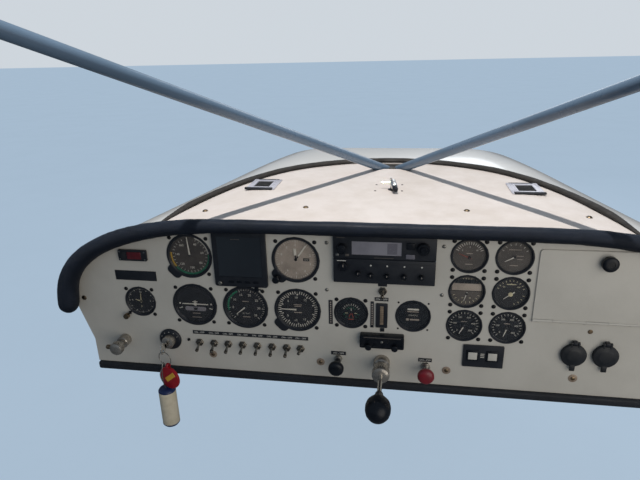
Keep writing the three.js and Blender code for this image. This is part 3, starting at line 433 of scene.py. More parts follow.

# %% [markdown]
# ## The finishes
# Every finish starts from the same few layers: two tones that drift into each other, a roughness that
# varies a little around its middle value, a relief, and for what lies under the windscreen some dust,
# which on the padded vinyl is also a painted sky reflection along the roll's top.
# What is constant over a surface, such as metallic or coat, is set on the shader itself.


# %% A finish from its layers
def new_material(name):
    material = bpy.data.materials.new(name)
    material.use_nodes = True
    return material, material.node_tree, material.node_tree.nodes["Principled BSDF"]


def finish(name, color, other, drift_scale, roughness, spread=0.06, relief=(400, 0.0001),
           grain=None, dust_and_sheen=0.0, dust_and_sheen_color="b9b2a4", **shader):
    """color and other are the two tones, spread is how far the roughness strays."""
    material, tree, skin = new_material(name)
    drift = add_node(tree, "Group", node_tree=DRIFT, Color=tint(color), Other_Color=tint(other),
                     Scale=drift_scale)
    tone = drift["Color"]
    if dust_and_sheen:
        tone = add_node(tree, "Group", "Color", node_tree=DUST_AND_SHEEN, Color=tone, Dust_Color=tint(dust_and_sheen_color),
                        Amount=dust_and_sheen)
    rough = add_node(tree, "MapRange", "Result", Value=drift["Mask"],
                     To_Min=roughness - spread, To_Max=roughness + spread)
    scale, depth = grain or relief
    normal = add_node(tree, "Group", "Normal", node_tree=GRAIN if grain else RELIEF, Scale=scale, Depth=depth)
    for label, value in {"Base_Color": tone, "Roughness": rough, "Normal": normal, **shader}.items():
        put(tree, skin.inputs[label.replace("_", " ")], value)
    return material


# %% Paint, vinyl, rubber and plastic
panel_paint = finish("panel_enamel", "cfcabf", "c6c1b6", 9, 0.34, 0.05, (140, 0.00015),
                     Coat_Weight=0.25, Coat_Roughness=0.2)
deck_paint = finish("deck_coating", "cfc8c4", "c4bcb6", 14, 0.72, 0.08, (900, 0.0003))
cowl_paint = finish("cowl_enamel", "e8e7e3", "dfddd8", 5, 0.2, 0.04, (60, 0.0001),
                    Coat_Weight=0.6, Coat_Roughness=0.06)
tube_paint = finish("brace_enamel", "60758b", "586d82", 9, 0.3, 0.04, (120, 0.00006),
                    dust_and_sheen=0.06, Coat_Weight=0.3, Coat_Roughness=0.15)
# The blue-grey dust on the vinyl's upward faces is partly real dust and partly a painted sky reflection along
# the roll's top.
vinyl = finish("padded_vinyl", "101927", "0d1521", 22, 0.52, 0.06, grain=(800, 0.00025),
               dust_and_sheen=0.1, dust_and_sheen_color="46556c", Specular_IOR_Level=0.3)
trim_vinyl = finish("trim_vinyl", "181c25", "13161d", 22, 0.5, 0.08, grain=(800, 0.0002))
seal_rubber = finish("seal_rubber", "211e1c", "181615", 35, 0.78, 0.1, (240, 0.0006),
                     dust_and_sheen=0.2, dust_and_sheen_color="5b5447")
vent_clear = finish("vent_clear", "c0c0ca", "aeafba", 60, 0.3)
bezel_black = finish("bezel_black", "1f2228", "25282e", 60, 0.42, 0.08, (1200, 0.00006),
                     Specular_IOR_Level=0.35)
case_black = finish("case_black", "1b1d21", "232529", 40, 0.55, 0.08, (700, 0.00015))
screw_black = finish("screw_black", "141416", "222225", 300, 0.38, 0.1, (900, 0.00005), Metallic=0.4)
knob_black = finish("knob_black", "0c1017", "11161e", 90, 0.34, 0.08, (900, 0.00006), Specular_IOR_Level=0.3)
knob_red = finish("knob_red", "84101f", "700d1b", 70, 0.42, 0.07, (500, 0.00008),
                  Coat_Weight=0.3, Coat_Roughness=0.15)
lid_black = finish("lid_black", "101419", "161a20", 70, 0.5, 0.09, (600, 0.00012))
tag_red = finish("tag_red", "a8101f", "960e1c", 120, 0.38, 0.07)
label_yellow = finish("label_yellow", "e9b43a", "dda636", 120, 0.5)
tag_blue = finish("float_blue", "182c5c", "142450", 120, 0.4, 0.07)
float_foam = finish("float_foam", "ded2b9", "cfc2a6", 60, 0.86, 0.06, (700, 0.0005))
lamp_red = finish("lamp_red", "5f161e", "4a1118", 90, 0.25, 0.05, (120, 0.00005), Coat_Weight=0.3)
bar_lit = finish("bar_light", "94826e", "7c6c5b", 160, 0.35)

# %% Metals, and what stands behind glass
chrome = finish("bright_chrome", "d9d7d2", "c9c6c0", 80, 0.14, 0.06, (200, 0.00003), Metallic=1.0)
worn_steel = finish("worn_steel", "a29f98", "85827b", 90, 0.36, 0.1, (500, 0.00008), Metallic=1.0)
brass = finish("worn_brass", "8f7d66", "6a5a48", 150, 0.36, 0.1, (500, 0.00008), Metallic=1.0)
satin_alloy = finish("satin_alloy", "b0a99f", "8f887f", 70, 0.3, 0.08, Metallic=0.75)
switch_metal = finish("switch_metal", "7c756b", "544e47", 260, 0.3, 0.1, (500, 0.0001), Metallic=1.0)
tan_alloy = finish("tan_alloy", "a5927f", "8a7868", 150, 0.5, 0.08, (500, 0.0001), Metallic=0.3)
# Dark steel for the brace foot; its darkness is painted shade of the gap under the deck's notch.
dark_steel = finish("dark_steel", "35332f", "272523", 60, 0.5, 0.1, (300, 0.0002), Metallic=0.5)
sheet_metal = finish("sheet_metal", "b5b7b8", "a2a4a6", 25, 0.4, 0.08, (900, 0.00008), Metallic=1.0)
dial_black = finish("dial_black", "202126", "27282d", 50, 0.6, 0.05, Specular_IOR_Level=0.3)
# Where the brown, taupe and grey below fill a whole dial face, they are painted reflection of the cover glass
# that lightens the face; in marks and labels they are print.
dial_brown = finish("dial_brown", "4c4743", "3b3735", 45, 0.5)
taupe_print_and_painted_reflection = finish("dial_taupe", "b3a89d", "988e85", 45, 0.5)
dial_grey = finish("dial_grey", "57514c", "474340", 45, 0.5)
white = finish("mark_white", "dedcd4", "cfccc2", 200, 0.6, 0.05)
green = finish("mark_green", "1c7a5b", "17684d", 200, 0.55, 0.05)
yellow = finish("mark_yellow", "c9a53c", "b89534", 200, 0.55, 0.05)
red = finish("mark_red", "b04a3a", "9c3f31", 200, 0.55, 0.05)
cream = finish("mark_cream", "d7cfae", "c8bf9c", 200, 0.55, 0.05)
screen_dark = finish("screen_dark", "262b31", "2a3036", 12, 0.16, 0.03, (80, 0.00002))
screen_grey = finish("screen_grey", "918f96", "7f7d85", 30, 0.3, 0.05, (80, 0.00002))
# A darker grey: painted shade across the middle of the radio's display window, and the real grey of a small
# label.
screen_shade = finish("screen_shade", "706e76", "68666e", 30, 0.3, 0.05)


def make_glass():
    """Cover glass that casts no shadow, so that the dials behind it get their light."""
    material, tree, skin = new_material("cover_glass")
    for label, value in {"Transmission Weight": 1.0, "Roughness": 0.03, "IOR": 1.45}.items():
        skin.inputs[label].default_value = value
    ends = {1: skin.outputs["BSDF"], 2: add_node(tree, "BsdfTransparent", "BSDF")}
    mix = add_node(tree, "MixShader", "Shader", ends, Fac=add_node(tree, "LightPath", "Is Shadow Ray"))
    put(tree, tree.nodes["Material Output"].inputs["Surface"], mix)
    return material


cover_glass = make_glass()
print(len(bpy.data.materials), "materials, the frame's own included")

# %% [markdown]
# ## The roof sheet: deck and boot cowl
# On the real aircraft one curved skin runs from the panel forward. The windscreen stands on it along a
# half ellipse: inside is the deck, coated to keep glare down, and outside is the glossy boot cowl. It
# could be lofted, but a plain grid laid over the arch is quicker and keeps even faces. Solidify gives
# it the sheet's thickness, and a drum with the windscreen's plan cuts it in two.

# %% Roof grid
ROOF_HALF_WIDTH, ROOF_HEIGHT, ROOF_START, ROOF_END = 548.2, 150.0, 0.2, 700.0
ROOF_NARROWING = 0.235
NOSE_START, NOSE_DROP = 480.0, 7.0
SHEET = 2.0
FLAT_SHARE, ARCH_POWER = 0.412, 2.4
FLAT_COLUMNS = 0.35
WINDSCREEN_HALF_WIDTH, WINDSCREEN_LENGTH, WINDSCREEN_GAP = 370.0, 478.0, 1.2


def roof_section(y):
    """Half width, half width of the flat and height of the roof at y."""
    past = max(0.0, y - NOSE_START) / (ROOF_END - NOSE_START)
    half_width = ROOF_HALF_WIDTH - ROOF_NARROWING * y
    return half_width, half_width * FLAT_SHARE, ROOF_HEIGHT - NOSE_DROP * past * past


def roof_point(across, along):
    """across runs from -1 at the left hem over the top to 1, along from 0 at the panel to 1 at the nose."""
    y = ROOF_START + (ROOF_END - ROOF_START) * along
    half_width, shoulder, height = roof_section(y)
    turn = max(0.0, abs(across) - FLAT_COLUMNS) / (1 - FLAT_COLUMNS) * math.pi / 2
    if turn == 0:
        return spot(across / FLAT_COLUMNS * shoulder, y, height)
    out = shoulder + (half_width - shoulder) * math.sin(turn) ** (2 / ARCH_POWER)
    return spot(math.copysign(out, across), y, height * max(0.0, math.cos(turn)) ** (2 / ARCH_POWER))


def roof_z(x, y):
    """Height of the roof's outer face over a point, in panel millimetres."""
    half_width, shoulder, height = roof_section(y)
    across = max(0.0, abs(x) - shoulder) / (half_width - shoulder)
    return height * (1 - across ** ARCH_POWER) ** (1 / ARCH_POWER)


def roof_sheet(material):
    deselect_all()
    bpy.ops.mesh.primitive_grid_add(x_subdivisions=120, y_subdivisions=30, size=2)
    sheet = bpy.context.object
    for vertex in sheet.data.vertices:
        vertex.co = roof_point(vertex.co.x, (vertex.co.y + 1) / 2)
    return painted(apply_modifier(sheet, "SOLIDIFY", thickness=SHEET * MM, offset=-1), material)


def windscreen_drum(grow=0.0):
    """An upright drum with the half ellipse of the windscreen's foot as its plan."""
    deselect_all()
    bpy.ops.mesh.primitive_cylinder_add(vertices=160, radius=1, depth=0.4, location=spot(0, 0, ROOF_HEIGHT))
    edit_all()
    bpy.ops.transform.resize(value=((WINDSCREEN_HALF_WIDTH + grow) * MM, (WINDSCREEN_LENGTH + grow) * MM, 1))
    return leave_edit()


cowl = cut(roof_sheet(cowl_paint), windscreen_drum(WINDSCREEN_GAP))
settle([cowl], "boot_cowl_skin", "boot_cowl")

# %% [markdown]
# ## The deck
# The deck is the same sheet inside the drum. A notch at its front lets the brace tubes down to their
# foot, two air vents are let into it, and pan-head screws hold it to the frame below. The two tubes
# leave through slanted holes, which are cut with a thicker copy of the tube itself.

# %% Deck sheet
TUBE_RADIUS, TUBE_START, TUBE_LENGTH = 9.5, 26.0, 900.0
TUBE_APEX, TUBE_SLOPE = (0.0, 460.0, 131.5), (0.452, -0.82, 0.353)
NOTCH_HALF_WIDTH, NOTCH_FROM, NOTCH_TO = 44.0, 404.0, 466.0
VENT_X, VENT_Y, VENT_HALF_WIDTH, VENT_HALF_LENGTH = 252.0, 244.0, 29.0, 39.0
VENT_MARGIN = 4.5
SIDES = (("left", -1), ("right", 1))


def tube_axis(side):
    """Where a brace tube starts and which way it runs. side is -1 on the left and 1 on the right."""
    return spot(*TUBE_APEX), Vector((side * TUBE_SLOPE[0], *TUBE_SLOPE[1:])).normalized()


def cut_window(obj, x, y, half_width, half_length):
    """Cuts an upright rectangular hole through the deck."""
    cut(obj, block((x - half_width, y - half_length, ROOF_HEIGHT - 60),
                   (x + half_width, y + half_length, ROOF_HEIGHT + 40), 0, deck_paint))


deck = cut(roof_sheet(deck_paint), windscreen_drum(), "INTERSECT")
cut_window(deck, 0, (NOTCH_FROM + NOTCH_TO) / 2, NOTCH_HALF_WIDTH, (NOTCH_TO - NOTCH_FROM) / 2)
for _, side in SIDES:
    start, slope = tube_axis(side)
    cut(deck, rod(TUBE_RADIUS + 2, 0, 160, start, deck_paint, slope, 24))
    cut_window(deck, side * VENT_X, VENT_Y, VENT_HALF_WIDTH - VENT_MARGIN, VENT_HALF_LENGTH - VENT_MARGIN)
settle([deck], "deck_sheet", "deck")
print("cowl and deck done")

# %% [markdown]
# ## Screws
# A pan-head screw is turned from its half section and gets a cross recess: two crossed bars taken out
# by a boolean, which is less work than pulling a cross out of a round cap by hand. The screws of a row
# on the panel are copies of its first one. Those on the deck are made one at a time and turned face up.

# %% Screws, alone and in rows
DECK_SCREWS = [(-312, 69), (-139, 93), (131, 95), (319, 88)]
MOUNT_SCREWS = [(-26.5, 259), (-26.5, 212), (24, 262), (24, 214)]


def pan_screw(radius, material):
    """A pan head on the panel's face at the zero spot, facing the pilot."""
    share = radius / 3.5
    head = turned([(0, -1.7 * share), (1.9 * share, -1.6 * share), (3.1 * share, -0.9 * share),
                   (radius, -0.05)], ZERO, material, steps=16)
    half, wide = 2.0 * share, 0.42 * share
    for x, z in ((half, wide), (wide, half)):
        cut(head, block((-x, -3, -z), (x, -0.8 * share, z), 0, material))
    return smooth(head, 40)


def row_of(first, places):
    """Takes a part from the zero spot to the first of some (x, z) places, with copies at the others."""
    x, z = places[0]
    first.location += spot(x, 0, z) - ZERO
    return repeat(baked(first), [(at_x - x, 0, at_z - z) for at_x, at_z in places[1:]])


def screws_at(places, radius, material):
    return row_of(pan_screw(radius, material), places)


def deck_screws(places, radius, material):
    return [turned_to(pan_screw(radius, material), spot(x, y, roof_z(x, y)), -90, "X") for x, y in places]


settle(deck_screws(DECK_SCREWS, 5.0, brass), "deck_screws", degrees=0)
settle(deck_screws(MOUNT_SCREWS, 2.2, screw_black), "ball_mount_holes", degrees=0)

# %% [markdown]
# ## Windscreen seal
# The seal is a soft black strip squeezed between the skin and the windscreen's foot. Its solid already
# follows the ellipse, so a copy is merged, turned back into quads, subdivided so that the strip rounds
# off, and then pushed about a little with a cloud texture, because old rubber is never straight. Near
# the roll it is drawn in towards the windscreen's foot, where the pane presses it flat.

# %% Seal from a copy of its solid
SEAL_FULL_FROM, SEAL_END_SHARE = 120.0, 0.2


def copy_of(node):
    """A merged, clean copy of a solid's mesh, ready to be modelled further."""
    obj = bpy.data.objects.new(node + "_copy", nodes[node].data.copy())
    bpy.context.scene.collection.objects.link(obj)
    only(obj)
    edit_all()
    bpy.ops.mesh.customdata_custom_splitnormals_clear()
    bpy.ops.mesh.remove_doubles(threshold=2e-6)
    bpy.ops.mesh.tris_convert_to_quads(face_threshold=math.radians(60), shape_threshold=math.radians(60))
    return leave_edit()


def roughen(obj, name, depth, strength, mid_level):
    """Pushes the skin about with a cloud texture."""
    clouds = bpy.data.textures.new(name, "CLOUDS")
    clouds.noise_scale = 0.05
    clouds.noise_depth = depth
    apply_modifier(obj, "DISPLACE", texture=clouds, strength=strength, mid_level=mid_level)


seal = painted(copy_of("windscreen_seal"), seal_rubber)
apply_modifier(seal, "SUBSURF", levels=3, render_levels=3)
for vertex in seal.data.vertices:
    point = (vertex.co - ZERO) / MM
    keep = SEAL_END_SHARE + (1 - SEAL_END_SHARE) * min(1.0, max(0.0, point.y / SEAL_FULL_FROM))
    reach = math.hypot(point.x / WINDSCREEN_HALF_WIDTH, point.y / WINDSCREEN_LENGTH)
    foot = Vector((point.x / reach, point.y / reach, 0))
    foot.z = roof_z(foot.x, foot.y)
    vertex.co = spot(*(foot + (point - foot) * keep))
roughen(seal, "seal_unevenness", 2, 0.0014, 0.5)
settle([seal], "windscreen_seal_strip", "windscreen_seal", degrees=60)

# %% [markdown]
# ## The padded roll
# A roll of foam under vinyl runs over the panel's edge, so that nobody meets sheet metal. It is blown
# up, not modelled by hand: the solid is rounded, which makes it thinner, and remeshed into small even
# faces. It gets back most of the lost thickness, and then Cloth with inner pressure swells it until the
# skin is taut. Each point may only move about two millimetres, which keeps the roll at its size.

# %% Roll swollen by cloth pressure
ROLL_VOXEL, ROLL_THICKEN, ROLL_WRINKLE = 0.005, 0.0012, 0.0016
ROLL_PRESSURE, ROLL_FRAMES, ROLL_MOST_MOVE = 4.0, 20, 0.0022


def swell(pad):
    """Runs Cloth with inner pressure on a closed mesh and keeps each point near where it was."""
    scene = bpy.context.scene
    start = [vertex.co.copy() for vertex in pad.data.vertices]
    only(pad)
    cloth = pad.modifiers.new("swell", "CLOTH")
    cloth.settings.use_pressure = True
    cloth.settings.uniform_pressure_force = ROLL_PRESSURE
    cloth.settings.effector_weights.gravity = 0
    cloth.settings.quality = 4
    scene.frame_start = 1
    scene.frame_end = ROLL_FRAMES
    cloth.point_cache.frame_end = ROLL_FRAMES
    for number in range(1, ROLL_FRAMES + 1):
        scene.frame_set(number)
    bpy.ops.object.modifier_apply(modifier=cloth.name)
    scene.frame_set(1)
    for vertex, before in zip(pad.data.vertices, start):
        moved = vertex.co - before
        if moved.length > ROLL_MOST_MOVE:
            vertex.co = before + moved.normalized() * ROLL_MOST_MOVE


roll = copy_of("coaming_roll")
apply_modifier(roll, "SUBSURF", levels=2, render_levels=2)
apply_modifier(roll, "REMESH", mode="VOXEL", voxel_size=ROLL_VOXEL)
edit_all()
bpy.ops.transform.shrink_fatten(value=ROLL_THICKEN)
leave_edit()
swell(roll)
apply_modifier(roll, "SUBSURF", levels=1, render_levels=1)
roughen(roll, "roll_wrinkles", 3, ROLL_WRINKLE, 0.55)
settle([painted(roll, vinyl)], "padded_coaming", "coaming_roll", degrees=180)

# %% Trim under the panel's lower edge, with its rounded nose
TRIM_Y, TRIM_TALL, TRIM_NOSE = (-6.0, 8.0), 15.0, 4.5
trim_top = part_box("lower_trim")[1]
trim_x, trim_z = trim_top.x / MM, (trim_top.z - ROW_Z) / MM
trim = block((-trim_x, TRIM_Y[0], trim_z - TRIM_TALL), (trim_x, TRIM_Y[1], trim_z), TRIM_NOSE, trim_vinyl, 6)
settle([trim], "lower_trim_bar", "lower_trim", degrees=60)
print("soft pieces done")

# %% [markdown]
# ## Brace tubes
# Two enamelled steel tubes run from a foot under the deck up and back to the wing's front spar. Each is
# spun from a half section, welded to a lug with a rounded end, and drilled for its bolt. The lug is
# made flat at the origin and then turned into the tube's direction as a whole object.

# %% Tubes with their lugs
LUG_THICK, LUG_LONG, LUG_WIDE, LUG_REACH = 6.0, 50.0, 36.0, 14.0
LUG_BOLT, LUG_HOLE, LUG_COLLAR = 12.0, 4.8, 9.0


def brace_tube(side):
    start, slope = tube_axis(side)
    length = Vector(TUBE_SLOPE).length * TUBE_LENGTH
    tube = turned([(TUBE_RADIUS - 0.8, TUBE_START), (TUBE_RADIUS, TUBE_START + 1), (TUBE_RADIUS, length - 7),
                   (TUBE_RADIUS + 1.4, length - 5), (TUBE_RADIUS + 1.4, length - 2),
                   (TUBE_RADIUS - 1, length)], start, tube_paint, slope, 48)
    end = start + slope * (length + LUG_REACH) * MM
    bolt = end + slope * LUG_BOLT * MM
    half = LUG_THICK / 2, LUG_LONG / 2, LUG_WIDE / 2
    lug = block([-size for size in half], half, 0.8, tube_paint, 2)
    turned_to(lug, end, math.degrees(math.atan2(slope.z, slope.y)), "X")
    reach = half[0] + 0.6
    collar = rod(LUG_COLLAR, -reach, reach, bolt, tube_paint, AXIS_X)
    for part in (lug, collar):
        cut(part, rod(LUG_HOLE, -13, 13, bolt, tube_paint, AXIS_X, 24))
    return [tube, lug, collar]


for word, side in SIDES:
    settle(brace_tube(side), "brace_tube_%s_painted" % word, "brace_tube_" + word)

# %% Foot and front cross tube
FOOT_HALF_WIDTH, FOOT_BACK, FOOT_FRONT, FOOT_BOTTOM, FOOT_TOP = 34.0, 424.0, 476.0, 94.0, 147.6
PAD_HALF_WIDTH, PAD_THICK, PAD_BOLT_X, PAD_BOLT_UP, PAD_HOLE = 60.0, 6.0, 50.0, 18.0, 3.2
CROSS_RADIUS, CROSS_Y, CROSS_HALF_LENGTH, CROSS_PAD, CROSS_PAD_THICK = 11.0, 450.0, 390.0, 15.0, 6.0
SOLID_GAP = 0.3


def brace_foot():
    # The foot's dark finish is painted shade: it shows only through the deck's notch, where the gap under the
    # tubes lies in shade.
    body = block((-FOOT_HALF_WIDTH, FOOT_BACK, FOOT_BOTTOM), (FOOT_HALF_WIDTH, FOOT_FRONT - 1, FOOT_TOP),
                 2.0, dark_steel)
    pad = block((-PAD_HALF_WIDTH, FOOT_FRONT - PAD_THICK, FOOT_BOTTOM),
                (PAD_HALF_WIDTH, FOOT_FRONT, FOOT_TOP), 1.0, dark_steel, 2)
    for _, side in SIDES:
        start, slope = tube_axis(side)
        cut(body, rod(TUBE_RADIUS + SOLID_GAP, TUBE_START - SOLID_GAP, 200, start, dark_steel, slope))
    for x in (-PAD_BOLT_X, PAD_BOLT_X):
        for up in (-PAD_BOLT_UP, PAD_BOLT_UP):
            bolt = (x, FOOT_FRONT, (FOOT_BOTTOM + FOOT_TOP) / 2 + up)
            cut(pad, rod(PAD_HOLE, -20, 20, bolt, dark_steel, steps=20))
    return [body, pad]


def cross_tube():
    end, inner = CROSS_HALF_LENGTH, CROSS_HALF_LENGTH - CROSS_PAD_THICK
    half = [(CROSS_PAD - 0.8, end), (CROSS_PAD, end - 0.8), (CROSS_PAD, inner),
            (CROSS_RADIUS + 1.8, inner - 0.2), (CROSS_RADIUS, inner - 3)]
    profile = [(radius, -along) for radius, along in half] + half[::-1]
    return turned(profile, (0, CROSS_Y, FOOT_BOTTOM - SOLID_GAP - CROSS_RADIUS), tube_paint, AXIS_X, 40)


settle(brace_foot(), "brace_foot_machined", "brace_foot")
settle([cross_tube()], "cross_tube_painted", "cross_tube")
print("structure done")

# %% [markdown]
# ## Deck vents and the clamp mount
# Two air vents clear the windscreen. Each is a pale clear moulding with a ribbed inner end, dark slats in
# its opening and a thick black lip towards the pilot. Between them a small clamp for a hand-held unit
# leans on the deck: a bright barrel with a black end, two pins at its top and a short handle.

# %% Vents
VENT_SLATS, VENT_RIBS = 6, 4


def deck_vent(side):
    top = roof_z(VENT_X - VENT_HALF_WIDTH, VENT_Y)
    near, far = VENT_Y - VENT_HALF_LENGTH, VENT_Y + VENT_HALF_LENGTH
    wide, bars = VENT_HALF_WIDTH * 2, 7.0
    hole_near, hole_far = near + 17, far - 13

    def slab(x, y, z, radius, material, segments=2):
        """A box between distances from the vent's inner edge, mirrored with the side."""
        ends = sorted(side * (VENT_X - VENT_HALF_WIDTH + out) for out in x)
        return block((ends[0], y[0], top + z[0]), (ends[1], y[1], top + z[1]), radius, material, segments)

    rim = slab((0, wide), (near, far), (0.4, 2.4), 0.7, vent_clear)
    cut(rim, slab((14, 46), (hole_near, hole_far), (-9, 9), 0, vent_clear))
    neck = slab((5, wide - 5), (near + 5, far - 5), (-24, 1), 0.4, bezel_black)
    cut(neck, slab((bars, wide - bars), (near + bars, far - bars), (-22, 9), 0, bezel_black))
    lips = [slab((3, wide + 1), (near - 1, near + 5), (0, 4.6), 1.6, bezel_black, 3),
            slab((5, wide - 8), (far - 4.5, far - 1.5), (1.8, 3.4), 0.6, bezel_black)]
    rib = slab((2, 3.6), (near + 5, far - 5), (1.8, 3.4), 0.5, vent_clear)
    ribs = repeat(rib, [(side * 3.0 * k, 0, 0) for k in range(1, VENT_RIBS)])
    slat = slab((13, 47), (hole_near + 2, hole_near + 3.5), (-4.5, 1.2), 0.4, case_black, 1)
    slats = repeat(slat, [(0, (hole_far - hole_near) / VENT_SLATS * k, 0) for k in range(1, VENT_SLATS)])
    return [rim, neck, *lips, ribs, slats]


for word, side in SIDES:
    settle(deck_vent(side), "deck_vent_%s_louvred" % word, "deck_vent_" + word)

# %% Clamp mount
MOUNT_X, MOUNT_Y = 6.0, 223.0
MOUNT_PINS = [(2.5, 228, 12), (8.5, 224, 9)]


def clamp_mount():
    base = roof_z(MOUNT_X, MOUNT_Y)
    pivot = spot(MOUNT_X, MOUNT_Y + 4, base + 14)
    lean = (spot(13, 186, base + 7) - pivot).normalized()
    return [
        turned([(9, 0.3), (9, 1.4), (4.4, 2.8), (3.8, 13)], (MOUNT_X, MOUNT_Y, base), knob_black, AXIS_Z, 28),
        turned([(4.6, -3), (5.9, -1.5), (5.9, 9), (5, 10), (5, 12), (5.9, 13), (5.9, 24), (4.8, 25.5)],
               pivot, chrome, lean, 28),
        turned([(4.2, 25), (4.2, 28), (5.2, 29), (5.2, 35), (3.8, 37.5)], pivot, knob_black, lean, 28),
        *[turned([(2.1, 9), (2.1, 9 + tall), (1.3, 10.2 + tall)], (x, y, base), chrome, AXIS_Z, 16)
          for x, y, tall in MOUNT_PINS],
        turned([(1.1, 0), (1.1, 12), (1.8, 13), (1.8, 16), (0, 16.6)], (1, MOUNT_Y + 3, base + 13), chrome,
               -AXIS_X, 16),
    ]


settle(clamp_mount(), "ball_mount_clamp", "ball_mount")
print("deck fittings done")

# %% [markdown]
# ## Instruments
# Aircraft instruments come in two standard sizes, and all of one size share a case: a black bezel with
# a well for the dial, a drum behind the panel with its plug, and a square flange that four screws pull
# against the panel from the front. Each instrument starts from a copy of its case. Dials are thin
# solids that lie one on another, not pictures, so that they stay sharp from close by.

# %% The two standard cases
LARGE = {"glass": 34.5, "bezel": 39.3, "screw": 31.43, "flange": 41.3, "body": 38.0, "depth": 66.0}
SMALL = {"glass": 24.6, "bezel": 28.2, "screw": 23.55, "flange": 29.4, "body": 27.0, "depth": 54.0}
DIAL_Y, MARK_Y, NEEDLE_Y, GLASS_Y = (3.4, 3.95), (3.2, 3.4), (1.7, 2.1), (0.6, 1.3)
PANEL_BACK = 2.8
CORNERS = ((-1, 1), (1, 1), (1, -1), (-1, -1))


def instrument_case(size):
    glass, bezel, body, depth, wide = (size[part] for part in ("glass", "bezel", "body", "depth", "flange"))
    case = turned([(glass, 4), (glass, 0.3), (glass + 0.9, -0.9), (glass + 1.6, -1.6), (bezel - 0.9, -1.6),
                   (bezel, -0.7), (bezel, 3.4), (body, 3.8), (body, depth - 1.2), (body - 1.2, depth)],
                  ZERO, bezel_black, steps=64)
    flange = plate((-wide, wide), (-wide, wide), (PANEL_BACK, 5.8), wide * 0.22, 0.4, case_black)
    cut(flange, rod(body - 2, -9, 19, ZERO, case_black, steps=48))
    plug = turned([(11, depth - 0.5), (11, depth + 2.5), (8.8, depth + 3.2), (8.8, depth + 8.4),
                   (8, depth + 9), (6.4, depth + 9), (6.4, depth + 4)], ZERO, worn_steel, steps=28)
    studs = [turned([(3.4, depth - 0.5), (3.4, depth + 1.6), (1.9, depth + 1.8), (1.9, depth + 6)],
                    (body * 0.62 * side, 0, -body * 0.35), brass, steps=12) for side in (-1, 1)]
    return smooth(join([case, flange, plug, *studs]))


for size in (LARGE, SMALL):
    size["case"] = instrument_case(size)

# %% [markdown]
# A dial is read by its marks: ticks and numbers round the rim, coloured arcs, and a needle over them.
# One tick is drawn and then spun as separate copies, which is what the spin tool's duplicate switch
# does. Marks are white unless they say otherwise, and angles run clockwise from the top.

# %% Marks and needles
ARC_STEP = 5
NEEDLE_TIP_SHARE = 0.35


def bar(angle, low, high, width, material=white, y=MARK_Y):
    """A thin bar that points at an angle, between two radii."""
    turn, out = math.radians(angle), (low + high) / 2
    deselect_all()
    bpy.ops.mesh.primitive_cube_add(
        size=1, location=spot(math.sin(turn) * out, (y[0] + y[1]) / 2, math.cos(turn) * out),
        rotation=(0, turn, 0), scale=(width * MM, (y[1] - y[0]) * MM, (high - low) * MM))
    return painted(baked(bpy.context.object), material)


def ticks(first, last, count, low, high, width, material=white):
    """count equal ticks from the angle first to the angle last."""
    bar(first, low, high, width, material)
    edit_all()
    bpy.ops.mesh.spin(steps=count - 1, angle=-math.radians(last - first), center=ZERO, axis=AXIS_Y,
                      dupli=True)
    return leave_edit()


def arc(first, last, low, high, material):
    """A coloured ribbon along the rim, drawn as one edge and spun."""
    turn = math.radians(first)
    draw_line([spot(math.sin(turn) * radius, MARK_Y[0], math.cos(turn) * radius) for radius in (low, high)])
    bpy.ops.mesh.spin(steps=max(4, int((last - first) / ARC_STEP)), angle=-math.radians(last - first),
                      center=ZERO, axis=AXIS_Y)
    ribbon = painted(leave_edit(), material)
    return apply_modifier(ribbon, "SOLIDIFY", thickness=(MARK_Y[1] - MARK_Y[0]) * MM, offset=-1)


def patch(x, z, width, height, material, y=MARK_Y, radius=0, segments=3):
    """A block known by its middle, width and height as the pilot sees it."""
    return block((x - width / 2, y[0], z - height / 2), (x + width / 2, y[1], z + height / 2),
                 radius, material, segments)


def dot(x, z, radius, material=white, y=MARK_Y, steps=16):
    return rod(radius, *y, (x, 0, z), material, steps=steps)


def number(text, x, z, size, material=white, y=MARK_Y[1]):
    """Figures made of real letters, turned into a mesh."""
    deselect_all()
    bpy.ops.object.text_add(location=spot(x, y - 0.1, z), rotation=(math.pi / 2, 0, 0))
    letters = bpy.context.object.data
    letters.body = text
    letters.size = size * MM
    letters.align_x = "CENTER"
    letters.align_y = "CENTER"
    letters.extrude = 0.1 * MM
    letters.resolution_u = 2
    bpy.ops.object.convert(target="MESH")
    edit_all()
    bpy.ops.mesh.remove_doubles(threshold=1e-6)
    return painted(baked(leave_edit()), material)


def figures(texts, first, step, radius, size, material=white):
    """Figures round a dial, each upright, from the angle first in equal steps."""
    angles = [math.radians(first + step * k) for k in range(len(texts.split()))]
    return [number(text, math.sin(angle) * radius, math.cos(angle) * radius, size, material)
            for text, angle in zip(texts.split(), angles)]


def needle(angle, length, width, hub, tail=0, down=0.0, material=white, cap=bezel_black):
    """A tapered needle with its hub cap."""
    hand = block((-width / 2, NEEDLE_Y[0], -tail), (width / 2, NEEDLE_Y[1], length), 0, material)
    choose(hand, "faces", [face.normal.z > 0.9 for face in hand.data.polygons])
    edit_chosen("FACE")
    bpy.ops.transform.resize(value=(NEEDLE_TIP_SHARE, 1, 1), center_override=spot(0, NEEDLE_Y[0], length))
    leave_edit()
    turned_to(hand, spot(0, 0, -down), angle, "Y")
    return join([hand, turned([(0, 1.4), (hub * 0.8, 1.5), (hub, 1.8), (hub, 3.3)], (0, 0, -down), cap,
                              steps=20)])


# %% Flutes, ears and assembly
def grooves(x, z, radius, y, count=13, width=1.0, depth=0.45, height=3, material=knob_black):
    """Bars round a knob or a ring, which cut the flutes into it."""
    block((x - width / 2, y[0], z + radius - depth), (x + width / 2, y[1], z + radius + height), 0, material)
    edit_all()
    bpy.ops.mesh.spin(steps=count - 1, angle=-math.tau * (count - 1) / count, center=spot(x, 0, z),
                      axis=AXIS_Y, dupli=True)
    return leave_edit()


